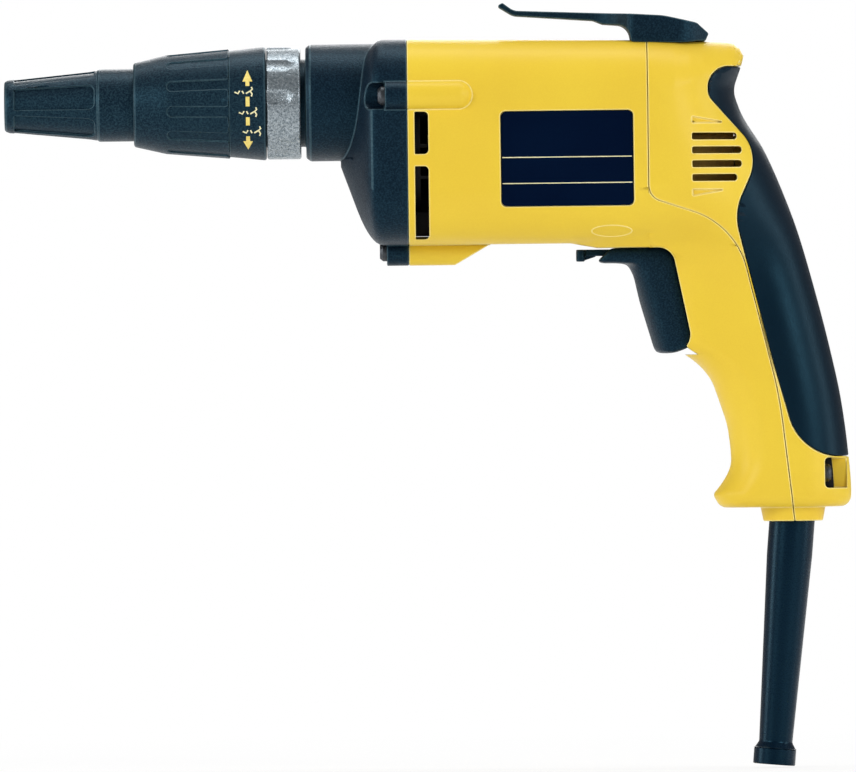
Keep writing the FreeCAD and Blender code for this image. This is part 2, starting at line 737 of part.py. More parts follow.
def flare_inset(x, reach, blend):
    # How far a side of the case lies inside its full section at x: none, then a rounding, then the flare.
    slope = reach / case_cone
    ahead = x_full + blend - x
    if ahead <= 0:
        return 0.0
    if ahead < 2 * blend:
        return slope * ahead * ahead / (4 * blend)
    return slope * (x_full - x)


def case_section(x):
    top = z_motor + barrel_rise
    half = barrel_half_width - flare_inset(x, barrel_half_width, ridge_round)
    high = top - flare_inset(x, top - flare_middle, ridge_round_ends)
    low = z_under + flare_inset(x, flare_middle - z_under, ridge_round_ends)
    corner = min(barrel_corner, 0.95 * half, 0.47 * (high - low))
    return outline([(-half, low, corner), (half, low, corner), (half, high, corner), (-half, high, corner)],
                   lambda a, b: Vector(x, a, b))


case_stations = [case_full, 5.0, 3.5, 2.0, 1.0, 0.0, -1.0, -2.0, -3.5, -5.0, -flare_end]
case = Part.makeLoft([case_section(x_full + s) for s in case_stations], True, True)
case = case.fuse([lathe([(x_case, 0), (x_case, case_radius - 1.2), (x_case + 1.6, case_radius),
                                (x_joint, case_radius), (x_joint, 0)])])
case = case.fuse(rod(x_snout, x_case + 2, snout_radius))
for y, z in ears:
    case = case.fuse(rod(x_joint - ear_length, x_joint, ear_radius, y, z))
for y, z in ears:
    case = case.cut([rod(x_full - 6, x_joint - ear_length, ear_radius - 0.4, y, z),
                     rod(x_full, x_joint + 1, screw_radius + seat_gap, y, z)])
x_plate = x_joint - 8.0
x_gear_rear = x_plate - 8.8
x_gear = x_gear_rear - gear_width
x_flange = x_gear - dog_height * 2 - clutch_gap - flange_width
gear_room = rod(x_case + 2.0, x_plate + 1, flange_radius + 2.2)
pinion_room = rod(x_gear - 1.5, x_plate + 1, gear_module * pinion_teeth / 2 + 1.6, 0, z_motor)
plate_room = cross_prism(barrel_frame(x_joint, wall), x_plate, x_joint + 1)
case = case.cut([gear_room, pinion_room, plate_room, rod(x_snout - 1, x_case + 3, bush_radius + seat_gap / 2)])
nodes["gear_case"] = case
nodes["gear_case_screws"] = Part.makeCompound(
    [screw(screw_length, screw_radius, screw_head_radius, screw_head_height).translated(
        Vector(x_joint - ear_length, y, z)) for y, z in ears])

# Bearing plate: carries the front bearing and the spindle's rear bush
rear_bush_radius = 7.4
bearing_plate = cross_prism(barrel_frame(x_joint, wall + seat_gap), x_plate + 0.05, x_joint)
boss_front = x_gear_rear + 1.2
bearing_plate = bearing_plate.fuse(rod(boss_front, x_plate + 1, rear_bush_radius + 2.2))
bearing_plate = bearing_plate.cut([
    rod(boss_front - 1, x_plate - 0.4, rear_bush_radius + seat_gap / 2),
    rod(x_plate + 0.8, x_joint + 1, front_bearing_radius + seat_gap / 2, 0, z_motor),
    rod(x_plate - 10, x_joint + 1, shaft_radius + 2.5, 0, z_motor)])
nodes["bearing_plate"] = bearing_plate
nodes["spindle_rear_bush"] = pipe(boss_front, x_plate - 0.5, rear_bush_radius, spindle_rear_radius + running_gap)


def ball_bearing(x0, width, outer, inner, z):
    middle = (outer + inner) / 2
    ball = (outer - inner) * 0.22
    outside = pipe(x0, x0 + width, outer, middle + ball * 0.6, z)
    inside_ring = pipe(x0, x0 + width, middle - ball * 0.6, inner, z)
    shield = pipe(x0 + 0.5, x0 + width - 0.5, middle + ball * 0.7, middle - ball * 0.7, z)
    return joined([outside, inside_ring, shield])


nodes["front_bearing"] = ball_bearing(x_plate + 0.9, front_bearing_width, front_bearing_radius,
                                      shaft_radius + running_gap, z_motor)

# Spindle bush and dust seal in the snout
nodes["spindle_seal"] = pipe(x_snout + 0.2, x_snout + 2.2, bush_radius, spindle_radius + running_gap)
nodes["spindle_bush"] = pipe(x_snout + 2.4, x_snout + 2.4 + bush_length, bush_radius,
                             spindle_radius + running_gap)

# Lock ring
ring = lathe([(x_ring + 0.3, snout_radius + seat_gap / 2), (x_ring + 0.3, ring_radius - 0.5),
              (x_ring + 0.8, ring_radius), (x_ring + ring_length - 0.5, ring_radius),
              (x_ring + ring_length, ring_radius - 0.5), (x_ring + ring_length, snout_radius + seat_gap / 2)])
flute_axis = ring_radius + flute_radius - flute_depth
flute = rod(x_ring - 1.0, x_ring + flute_length - flute_end, flute_radius, 0, flute_axis)
flute = flute.fuse(Part.makeCone(flute_radius, flute_radius - 1.5 * flute_depth, flute_end * 1.5,
                                 Vector(x_ring + flute_length - flute_end, 0, flute_axis), Vector(1, 0, 0)))
ring = ring.cut(ring_of(flute, flute_count, 0.0, flute_phase))
nodes["lock_ring"] = ring

# Depth collar
bore = nose_radius + turning_gap
sleeve = snout_radius + turning_gap
x_step = x_snout - 1.6
x_pads = x_collar + groove_start
x_band = x_pads + groove_length
pad_rise = (collar_rear_radius - collar_mid_radius) / (collar_length - groove_start)


def pad_radius(x):
    # Outer radius of the finger pads at x.
    return collar_mid_radius + groove_depth * 0.6 + pad_rise * (x - x_pads)


collar = lathe([(x_collar, bore), (x_collar, collar_front_radius - 0.6), (x_collar + 0.6, collar_front_radius),
                (x_pads, pad_radius(x_pads)), (x_band - 0.3, pad_radius(x_band)),
                (x_band, pad_radius(x_band) - groove_depth), (x_ring - 0.5, collar_rear_radius),
                (x_ring, collar_rear_radius - 0.5), (x_ring, sleeve), (x_step, sleeve), (x_step, bore)])
half_groove = groove_width / 2
groove_plan = [(x_pads + 0.4, -half_groove, half_groove * 0.97), (x_band - 0.4, -half_groove, pad_corner),
               (x_band - 0.4, -half_groove * 2.2, 0), (x_band + 1.0, -half_groove * 2.2, 0),
               (x_band + 1.0, half_groove * 2.2, 0), (x_band - 0.4, half_groove * 2.2, 0),
               (x_band - 0.4, half_groove, pad_corner), (x_pads + 0.4, half_groove, half_groove * 0.97)]
floor_drop = groove_depth - 0.08
groove_floor = lathe([(x_collar, 0), (x_collar, pad_radius(x_collar) - floor_drop),
                      (x_ring, pad_radius(x_ring) - floor_drop), (x_ring, 0)])
groove = plan_prism(groove_plan, 10, 40).cut(groove_floor)
collar = collar.cut(ring_of(groove, groove_count, 0.0, groove_phase))
nodes["depth_collar"] = collar

# Nosepiece
x_shoulder = x_tip + nose_shoulder


def nose_outline(x):
    return nose_tip_radius + (nose_radius - 0.5 - nose_tip_radius) * (x - x_tip - 4.4) / (nose_shoulder - 4.4)


nosepiece = lathe([(x_tip, nose_mouth), (x_tip, nose_tip_radius - 1.3), (x_tip + 0.6, nose_tip_radius - 0.6),
                   (x_tip + 2.0, nose_tip_radius - 0.15), (x_tip + 4.4, nose_tip_radius),
                   (x_shoulder, nose_radius - 0.5), (x_shoulder + 0.6, nose_radius),
                   (x_collar + nose_hidden, nose_radius), (x_collar + nose_hidden, nose_bore),
                   (x_tip + 20.0, nose_bore), (x_tip + 16.0, nose_mouth)])
panel_x0 = x_tip + 3.6
panel_x1 = x_shoulder - 1.0
panel_plan = [(panel_x0, -panel_front_width / 2, 0.5), (panel_x1, -panel_rear_width / 2, panel_corner),
              (panel_x1, panel_rear_width / 2, panel_corner), (panel_x0, panel_front_width / 2, 0.5)]
panel_floor = lathe([(x_tip, 0), (x_tip, nose_outline(x_tip) - panel_depth),
                     (x_shoulder, nose_outline(x_shoulder) - panel_depth), (x_shoulder, 0)])
panel = plan_prism(panel_plan, 5, 30).cut(panel_floor)
nosepiece = nosepiece.cut(ring_of(panel, panel_count, 0.0, panel_phase))
nodes["nosepiece"] = nosepiece

# Bit holder with its magnet
holder = lathe([(0.0, 0.0), (0.0, holder_radius - 0.6), (0.6, holder_radius), (holder_length - 0.8, holder_radius),
                (holder_length, holder_radius - 0.8), (holder_length, 0.0)])
shank = hexagon(holder_length - 0.5, holder_length + shank_length, hex_size)
holder = holder.fuse(shank)
holder = holder.cut([hexagon(-1.0, socket_depth, hex_size + hex_play),
                     rod(socket_depth - 0.5, socket_depth + magnet_length + seat_gap, magnet_radius + seat_gap / 2)])
nodes["bit_holder"] = holder
nodes["bit_magnet"] = rod(socket_depth + seat_gap / 2, socket_depth + magnet_length, magnet_radius)

# Spindle
x_spindle = holder_length + 0.6
x_spindle_end = x_plate - 3.6
spindle = lathe([(x_spindle, 0.0), (x_spindle, spindle_radius - 0.6), (x_spindle + 0.6, spindle_radius),
                 (x_flange, spindle_radius), (x_flange, flange_radius), (x_flange + flange_width, flange_radius),
                 (x_flange + flange_width, spindle_rear_radius), (x_spindle_end - 0.5, spindle_rear_radius),
                 (x_spindle_end, spindle_rear_radius - 0.5), (x_spindle_end, 0.0)])


def dogs(x0, x1, start):
    one = lathe([(x0, dog_inner), (x1, dog_inner), (x1, flange_radius - 0.1), (x0, flange_radius - 0.1)], 0.0,
                dog_angle)
    return ring_of(one, dog_count, 0.0, start - dog_angle / 2)


x_dogs = x_flange + flange_width
spindle = spindle.fuse(dogs(x_dogs - 0.2, x_dogs + dog_height, 0.0))
groove_x = x_spindle + 3.0
spindle = spindle.cut([hexagon(x_spindle - 1, holder_length + shank_length + 1.0, hex_size + hex_play),
                       pipe(groove_x, groove_x + 1.2, spindle_radius + 2, spindle_radius - 0.6)])
nodes["spindle"] = spindle
clip = pipe(groove_x + 0.08, groove_x + 1.12, spindle_radius + 1.2, spindle_radius - 0.6 + seat_gap)
nodes["retaining_ring"] = clip.cut(block(groove_x - 1, groove_x + 3, -1.5, 1.5, 0, 20))


# Spring wire as arcs that meet smoothly
def coil(x0, x1, radius, wire, turns):
    count = int(round(turns * 8))
    rise = (x1 - x0) / count
    step = 2 * math.pi * turns / count
    pitch = (x1 - x0) / (2 * math.pi * turns)

    def spot(i):
        return Vector(x0 + rise * i, radius * math.sin(step * i), radius * math.cos(step * i))

    def way(i):
        d = Vector(pitch, radius * math.cos(step * i), -radius * math.sin(step * i))
        return d.normalize()

    def arc(p, corner, q):
        chord = (p + q) * 0.5
        back = chord - corner
        leg = (p - corner).Length
        half = math.asin(min(1.0, (q - p).Length / 2 / leg))
        turn = leg * math.tan(half)
        gap = turn / math.sin(half) - turn
        return Part.Arc(p, corner + back.normalize() * gap, q).toShape()

    edges = []
    for i in range(count):
        p, q = spot(i), spot(i + 1)
        s, t = way(i), way(i + 1)
        v = q - p
        both = s + t
        lead = v.dot(both)
        spread = 2 * (1 - s.dot(t))
        reach = (-lead + math.sqrt(lead * lead + spread * v.dot(v))) / spread
        a = p + s * reach
        b = q - t * reach
        m = (a + b) * 0.5
        edges.append(arc(p, a, m))
        edges.append(arc(m, b, q))
    path = Part.Wire(edges)
    profile = Part.Wire(Part.makeCircle(wire / 2, spot(0), way(0)))
    return path.makePipeShell([profile], True, False)


spring_x0 = x_dogs + spring_wire / 2 + 0.1
spring_x1 = x_gear - spring_wire / 2 - 0.1
nodes["clutch_spring"] = coil(spring_x0, spring_x1, spring_radius, spring_wire, spring_turns)


# Gears
def gear_blank(teeth, shift, x0, x1, start, z):
    pitch_radius = gear_module * teeth / 2
    alpha = math.radians(pressure_angle)
    base = pitch_radius * math.cos(alpha)
    tip = pitch_radius + gear_module * (addendum + shift)
    root = pitch_radius - gear_module * (dedendum - shift)
    thick = gear_module * (math.pi / 2 + 2 * shift * math.tan(alpha)) - tooth_play / 2

    def half_angle(radius):
        turn = math.acos(min(1.0, base / radius))
        return thick / (2 * pitch_radius) + math.tan(alpha) - alpha - math.tan(turn) + turn

    def spot(radius, angle):
        return Vector(x0, radius * math.sin(angle), z + radius * math.cos(angle))

    low = max(base, root)
    radii = [low + (tip - low) * i / 4.0 for i in range(5)]
    edges = []
    step = 2 * math.pi / teeth
    for k in range(teeth):
        middle = start + k * step
        left = [spot(r, middle - half_angle(r)) for r in radii]
        right = [spot(r, middle + half_angle(r)) for r in reversed(radii)]
        if root < low - 1e-6:
            edges.append(Part.makeLine(spot(root, middle - half_angle(low)), left[0]))
        flank = Part.BSplineCurve()
        flank.interpolate(left)
        edges.append(flank.toShape())
        edges.append(Part.Arc(left[-1], spot(tip, middle), right[0]).toShape())
        flank = Part.BSplineCurve()
        flank.interpolate(right)
        edges.append(flank.toShape())
        if root < low - 1e-6:
            edges.append(Part.makeLine(right[-1], spot(root, middle + half_angle(low))))
        gap_start = spot(root, middle + half_angle(low))
        gap_end = spot(root, middle + step - half_angle(low))
        edges.append(Part.Arc(gap_start, spot(root, middle + step / 2), gap_end).toShape())
    return Part.Face(Part.Wire(edges)).extrude(Vector(x1 - x0, 0, 0))


half_space = math.pi / gear_teeth
gear = gear_blank(gear_teeth, -profile_shift, x_gear, x_gear_rear, math.pi + half_space, 0.0)
gear = gear.fuse(dogs(x_gear - dog_height, x_gear + 0.2, 180.0 / dog_count))
gear = gear.cut(rod(x_gear - 5, x_gear_rear + 1, spindle_rear_radius + running_gap))
nodes["drive_gear"] = gear
nodes["thrust_washer"] = pipe(x_gear_rear + 0.1, boss_front - 0.1, 8.6, spindle_rear_radius + running_gap)

# Armature
x_pinion = x_gear + 0.6
x_pinion_end = x_gear_rear + 0.9
x_core_end = x_core + core_length
x_comm = x_core_end + 9.0
x_comm_end = x_comm + commutator_length
x_rear_bearing = x_comm_end + 3.0
x_shaft_end = x_rear_bearing + rear_bearing_width + 0.6
pinion = gear_blank(pinion_teeth, profile_shift, x_pinion, x_pinion_end, 0.0, z_motor)
shaft = lathe([(x_pinion_end, 0.0), (x_pinion_end, shaft_radius), (x_joint + 12.5, shaft_radius),
               (x_joint + 12.5, shaft_core_radius), (x_comm_end + 1.5, shaft_core_radius),
               (x_comm_end + 1.5, shaft_rear_radius), (x_shaft_end, shaft_rear_radius), (x_shaft_end, 0.0)],
              z_motor)
nodes["armature_shaft"] = shaft.fuse(pinion)
slot_wide = 4.2
slot = block(x_core - 1, x_core_end + 1, -slot_wide / 2, slot_wide / 2, z_motor + core_radius - 6.0,
             z_motor + core_radius - 1.6)
mouth = block(x_core - 1, x_core_end + 1, -0.9, 0.9, z_motor + core_radius - 3.0, z_motor + core_radius + 2.0)
core = pipe(x_core, x_core_end, core_radius, shaft_core_radius + seat_gap / 2, z_motor)
core = core.cut(ring_of(slot.fuse(mouth), slot_count, z_motor))
nodes["armature_core"] = core
bar = block(x_core - 2, x_core_end + 2, -slot_wide / 2 + 0.15, slot_wide / 2 - 0.15,
            z_motor + core_radius - 5.85, z_motor + core_radius - 1.75)
ends = []
for x0, x1 in ((x_core - 6.0, x_core - 0.3), (x_core_end + 0.3, x_core_end + 7.5)):
    ends.append(lathe([(x0, shaft_core_radius + 1.2), (x0, core_radius - 4.5), (x0 + 1.6, core_radius - 1.8),
                       (x1 - 1.6, core_radius - 1.4), (x1, core_radius - 2.4), (x1, shaft_core_radius + 1.2)],
                      z_motor))
winding = ends[0].fuse([ends[1]] + ring_of(bar, slot_count, z_motor))
sleeves = pipe(x_core - 6.0, x_core - 0.3, shaft_core_radius + 1.4, shaft_core_radius + seat_gap / 2, z_motor)
nodes["armature_winding"] = winding.fuse(sleeves)
comm = lathe([(x_comm, shaft_core_radius + seat_gap / 2), (x_comm, commutator_radius + 1.4),
              (x_comm + 2.0, commutator_radius + 1.4), (x_comm + 2.0, commutator_radius),
              (x_comm_end, commutator_radius), (x_comm_end, shaft_core_radius + seat_gap / 2)], z_motor)
cut_line = block(x_comm - 1, x_comm_end + 1, -0.25, 0.25, z_motor + commutator_radius - 0.8,
                 z_motor + commutator_radius + 4)
nodes["commutator"] = comm.cut(ring_of(cut_line, bar_count, z_motor))

# Fan
x_fan = x_joint + 2.2
fan = lathe([(x_fan, shaft_radius + seat_gap / 2), (x_fan, 8.0), (x_fan + fan_width - 1.4, 9.5),
             (x_fan + fan_width - 1.4, fan_radius), (x_fan + fan_width, fan_radius),
             (x_fan + fan_width, shaft_radius + seat_gap / 2)], z_motor)
blade = block(x_fan + 0.6, x_fan + fan_width - 1.0, -0.7, 0.7, z_motor + 9.0, z_motor + fan_radius - 0.3)
blade.rotate(Vector(0, 0, z_motor + 9.0), Vector(1, 0, 0), 24)
rim = pipe(x_fan + 0.6, x_fan + 2.4, fan_radius - 0.3, fan_radius - 2.6, z_motor)
fan = fan.fuse(ring_of(blade, fan_blades, z_motor) + [rim])
nodes["fan"] = fan

# Field
x_field = x_core - (field_length - core_length) / 2
x_field_end = x_field + field_length
field_radius = barrel_half_width - wall - 0.2
bore_radius = core_radius + air_gap
window = field_radius - field_yoke


def sector(x0, x1, outer, inner, start, span):
    # Part of a ring about the motor's axis; angles run from the top.
    part = lathe([(x0, inner), (x1, inner), (x1, outer), (x0, outer)], z_motor, span)
    return turned(part, start, z_motor)


field = pipe(x_field, x_field_end, field_radius, bore_radius, z_motor)
for middle in (90.0, 270.0):
    field = field.cut(sector(x_field - 1, x_field_end + 1, window, bore_radius - 1, middle - 34, 68))
nodes["field_stack"] = field
coil_out = window - 0.15
coil_in = bore_radius + 0.7
coils = []
for middle in (0.0, 180.0):
    legs = [sector(x_field - coil_end, x_field_end + coil_end, coil_out, coil_in, middle + s, 27)
            for s in (57.0, -84.0)]
    bows = [sector(x0, x0 + coil_end - 0.2, coil_out, coil_in, middle - 70, 140)
            for x0 in (x_field - coil_end, x_field_end + 0.2)]
    coils.append(joined(legs + bows))
nodes["field_coils"] = Part.makeCompound(coils)

# Air baffle between the fan and the field
x_baffle = x_fan + fan_width + 0.8
baffle = cross_prism(barrel_frame(x_baffle, wall + 0.2), x_baffle, x_baffle + 1.6)
for y, z in ears:
    baffle = baffle.cut(rod(x_joint, x_joint + 40, ear_radius + 0.3, y, z))
baffle = baffle.cut(rod(x_baffle - 1, x_baffle + 3, coil_out + loose_gap, 0, z_motor))
web = block(x_joint + 1.0, x_baffle + 0.5, -0.9, 0.9, z_under + wall + 0.2, z_motor - fan_radius - 0.5)
nodes["air_baffle"] = baffle.fuse(web)

# Brush plate with the rear bearing, brush holders, brushes and their springs
x_brush_plate = x_comm_end + 1.6
hub = rod(x_brush_plate, x_seam - 1.0, rear_bearing_radius + 3.0, 0, z_motor)
arms = [block(x_brush_plate, x_brush_plate + 4.0, -60, 60, z_motor - 8, z_motor + 8),
        block(x_brush_plate, x_brush_plate + 4.0, -8, 8, z_motor - 60, z_motor + 60)]
room = cross_prism(barrel_frame(x_seam - 6, wall + 0.2), x_brush_plate, x_seam - 1.0)
brush_plate = joined([hub] + arms).common(room)
brush_plate = brush_plate.cut([
    rod(x_rear_bearing - 0.1, x_seam + 1, rear_bearing_radius + seat_gap / 2, 0, z_motor),
    rod(x_brush_plate - 1, x_seam + 1, shaft_core_radius + 1.5, 0, z_motor)])
nodes["brush_plate"] = brush_plate
nodes["rear_bearing"] = ball_bearing(x_rear_bearing, rear_bearing_width, rear_bearing_radius,
                                     shaft_rear_radius + running_gap, z_motor)
brush_x0 = x_comm + 3.2
brush_x1 = brush_x0 + brush_width
brush_y = commutator_radius + 0.1
case_y = commutator_radius + 1.6
case_end = barrel_half_width - wall - 1.2
holder_box = block(brush_x0 - 1.4, x_brush_plate - 0.05, case_y, case_end, z_motor - brush_height / 2 - 1.4,
                   z_motor + brush_height / 2 + 1.4)
holder_box = holder_box.cut(block(brush_x0 - 0.2, brush_x1 + 0.2, case_y - 1, case_end - 1.5,
                                  z_motor - brush_height / 2 - 0.2, z_motor + brush_height / 2 + 0.2))
nodes["brush_holders"] = Part.makeCompound(both_sides(holder_box))
brush = block(brush_x0, brush_x1, brush_y, brush_y + brush_length, z_motor - brush_height / 2,
              z_motor + brush_height / 2)
brush = brush.cut(rod(brush_x0 - 1, brush_x1 + 1, commutator_radius + 0.1, 0, z_motor))
nodes["carbon_brushes"] = Part.makeCompound(both_sides(brush))
push = coil(0.0, case_end - 1.5 - brush_y - brush_length - 1.0, 2.3, 0.6, 3)
push.rotate(Vector(0, 0, 0), Vector(0, 0, 1), 90)
push.translate(Vector((brush_x0 + brush_x1) / 2, brush_y + brush_length + 0.5, z_motor))
nodes["brush_springs"] = Part.makeCompound(both_sides(push))

# Switch
x_switch = x_seam + switch_front
switch_top = z_under - lever_drop - lever_thickness - 2.2
z_stem = z_under - stem_drop
switch = block(x_switch, x_switch + switch_depth, -switch_half_width, switch_half_width,
               switch_top - switch_height, switch_top)
lug_half = handle_half_width - wall - 0.2
switch = switch.fuse(block(x_switch + 2, x_switch + 10, -lug_half, lug_half, z_stem - 6, z_stem + 6))
stem_half = stem_size / 2
stem_play = 0.2
switch = switch.cut([
    block(x_switch - 1, x_seam + stem_reach + trigger_travel + 0.5, -stem_half - stem_play, stem_half + stem_play,
          z_stem - stem_half - stem_play, z_stem + stem_half + stem_play),
    Part.makeCylinder(lever_pivot_radius + running_gap, 6.0, Vector(x_seam + lever_pivot, 0, switch_top - 5.5),
                      Vector(0, 0, 1))])
nodes["switch_body"] = switch

# Trigger with its stem: a finger with a rounded front, below a lip
finger_top = trigger_turns[-1][0]
finger_mid = trigger_turns[-2]
finger_low = trigger_turns[-3]
finger_slope = (finger_low[1] - finger_mid[1]) / (finger_low[0] - finger_mid[0])


def finger_level(height):
    # Level cut of the finger: elliptical front, straight sides.
    x0 = x_seam + finger_mid[1] + finger_slope * (height - finger_mid[0])
    z = z_under + height
    half = trigger_half_width
    nose = Vector(x0, 0, z)
    a = Vector(x0 + finger_round, half, z)
    d = Vector(x0 + finger_round, -half, z)
    b = Vector(x0 + 60, half, z)
    c = Vector(x0 + 60, -half, z)
    return Part.Wire([quarter(nose, a, Vector(x0, half, z)), Part.makeLine(a, b), Part.makeLine(b, c),
                      Part.makeLine(c, d), quarter(d, nose, Vector(x0, -half, z))])


blank = side_prism(from_seam(trigger_turns), -trigger_half_width - 2, trigger_half_width + 2)
finger = blank.common(Part.makeLoft([finger_level(-60.0), finger_level(finger_top - 0.4)], True, True))
lip_front = x_seam + trigger_turns[0][1] - 1.0
lip_plan = [(lip_front, -trigger_half_width, lip_round), (x_seam + 60, -trigger_half_width, 0),
            (x_seam + 60, trigger_half_width, 0), (lip_front, trigger_half_width, lip_round)]
lip = blank.common(plan_prism(lip_plan, z_under + finger_top - 0.4, z_under + 5))
trigger = joined([finger, lip])
channel_low = z_under - lever_drop - lever_thickness - loose_gap
trigger = trigger.cut(block(x_seam - 40, x_seam + 40, -lever_channel, lever_channel, channel_low, z_under + 5))
trigger = trigger.fuse(block(x_seam + 5, x_seam + stem_reach, -stem_half, stem_half, z_stem - stem_half,
                             z_stem + stem_half))
nodes["trigger"] = trigger

# Reversing lever
lever_top = z_under - lever_drop
lever_low = lever_top - lever_thickness
x_pivot = x_seam + lever_pivot
lever = plan_prism([(x_seam - lever_front, -lever_half_width, 1.5), (x_pivot + 5, -lever_half_width, 4.0),
                    (x_pivot + 5, lever_half_width, 4.0), (x_seam - lever_front, lever_half_width, 1.5)],
                   lever_low, lever_top)
paddle = plan_prism([(x_seam - lever_front, -7.0, 1.2), (x_seam - lever_front + 3.2, -7.0, 1.2),
                     (x_seam - lever_front + 3.2, 7.0, 1.2), (x_seam - lever_front, 7.0, 1.2)],
                    lever_top - 4.4, lever_top)
pin = Part.makeCylinder(lever_pivot_radius, lever_low - switch_top + 4.8 + 0.5,
                        Vector(x_pivot, 0, switch_top - 4.8), Vector(0, 0, 1))
rest = Part.makeCylinder(4.0, lever_low - switch_top - 0.1 + 0.5, Vector(x_pivot, 0, switch_top + 0.1),
                         Vector(0, 0, 1))
nodes["reverse_lever"] = joined([lever, paddle, pin, rest])

# Strain relief
flange = along_relief(-handle_floor - 4.4, -handle_floor, 10.4)
neck = along_relief(-handle_floor - 1.0, 18.0, relief_top_radius)
taper = along_relief(17.5, relief_length - 6.0, relief_top_radius, relief_end_radius)
rim = along_relief(relief_length - 6.0, relief_length, relief_rim_radius)
step = along_relief(relief_length - 8.5, relief_length - 6.0, relief_end_radius, relief_rim_radius - 0.2)
relief = joined([flange, neck, taper, step, rim])
relief = relief.cut(along_relief(-30, relief_length + 5, cord_radius))
nodes["strain_relief"] = relief

# Cord clamp
clamp_mid = (clamp_top + clamp_low) / 2
clamp = block(clamp_face + 0.1, clamp_face + 11.0, -10.6, 10.6, clamp_low + 1.0, clamp_top - 1.0)
clamp = clamp.cut([along_relief(-60.0, 2.0, cord_radius + 0.2)]
                  + [rod(clamp_face - 1, clamp_face + 13, 1.5 + seat_gap, y, clamp_mid) for y in (7.4, -7.4)])
nodes["cord_clamp"] = clamp
nodes["cord_clamp_screws"] = Part.makeCompound(
    [screw(20.0, 1.5, 2.8, 2.0).mirror(Vector(0, 0, 0), Vector(1, 0, 0)).translated(
        Vector(clamp_face + 11.0, y, clamp_mid)) for y in (7.4, -7.4)])

for name in sorted(nodes):
    shape = nodes[name]
    shape.exportStep("parts/%s.step" % name)
    print(name, "solids", len(shape.Solids), "faces", len(shape.Faces), "volume %.0f" % shape.Volume,
          "ok" if shape.isValid() else "NOT VALID")
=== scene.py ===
import bpy
import bmesh
import json
import math
import numpy as np
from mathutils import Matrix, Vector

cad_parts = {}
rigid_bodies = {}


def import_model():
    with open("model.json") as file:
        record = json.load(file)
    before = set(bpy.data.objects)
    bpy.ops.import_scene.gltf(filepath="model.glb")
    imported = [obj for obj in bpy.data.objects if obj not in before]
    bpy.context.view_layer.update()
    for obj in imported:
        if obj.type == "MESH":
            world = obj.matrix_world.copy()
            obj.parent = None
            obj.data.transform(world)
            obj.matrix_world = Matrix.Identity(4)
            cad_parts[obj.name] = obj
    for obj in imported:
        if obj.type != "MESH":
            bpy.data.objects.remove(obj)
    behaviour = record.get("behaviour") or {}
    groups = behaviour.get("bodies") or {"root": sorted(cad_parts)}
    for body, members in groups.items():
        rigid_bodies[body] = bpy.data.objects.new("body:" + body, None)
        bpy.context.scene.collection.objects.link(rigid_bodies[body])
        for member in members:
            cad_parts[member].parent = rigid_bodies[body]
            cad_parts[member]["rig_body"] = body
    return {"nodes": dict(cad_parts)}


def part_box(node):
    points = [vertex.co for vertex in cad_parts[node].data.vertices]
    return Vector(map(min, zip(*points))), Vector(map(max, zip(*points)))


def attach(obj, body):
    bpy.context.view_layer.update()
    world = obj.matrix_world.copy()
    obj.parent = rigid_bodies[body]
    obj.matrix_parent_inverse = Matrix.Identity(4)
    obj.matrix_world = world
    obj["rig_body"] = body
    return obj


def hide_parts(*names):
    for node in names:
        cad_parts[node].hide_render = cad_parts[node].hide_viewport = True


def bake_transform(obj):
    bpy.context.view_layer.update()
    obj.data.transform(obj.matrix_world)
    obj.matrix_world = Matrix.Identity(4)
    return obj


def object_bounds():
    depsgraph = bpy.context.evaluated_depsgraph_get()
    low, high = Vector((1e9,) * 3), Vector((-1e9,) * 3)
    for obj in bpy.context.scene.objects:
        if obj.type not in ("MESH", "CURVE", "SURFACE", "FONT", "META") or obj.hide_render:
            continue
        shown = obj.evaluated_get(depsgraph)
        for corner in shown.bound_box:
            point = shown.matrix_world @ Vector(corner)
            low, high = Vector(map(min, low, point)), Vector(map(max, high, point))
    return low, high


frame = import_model()
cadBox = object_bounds()
mm = 0.001  # sizes are in millimetres, unless a note says metres
print("frame loaded,", len(frame["nodes"]), "nodes")


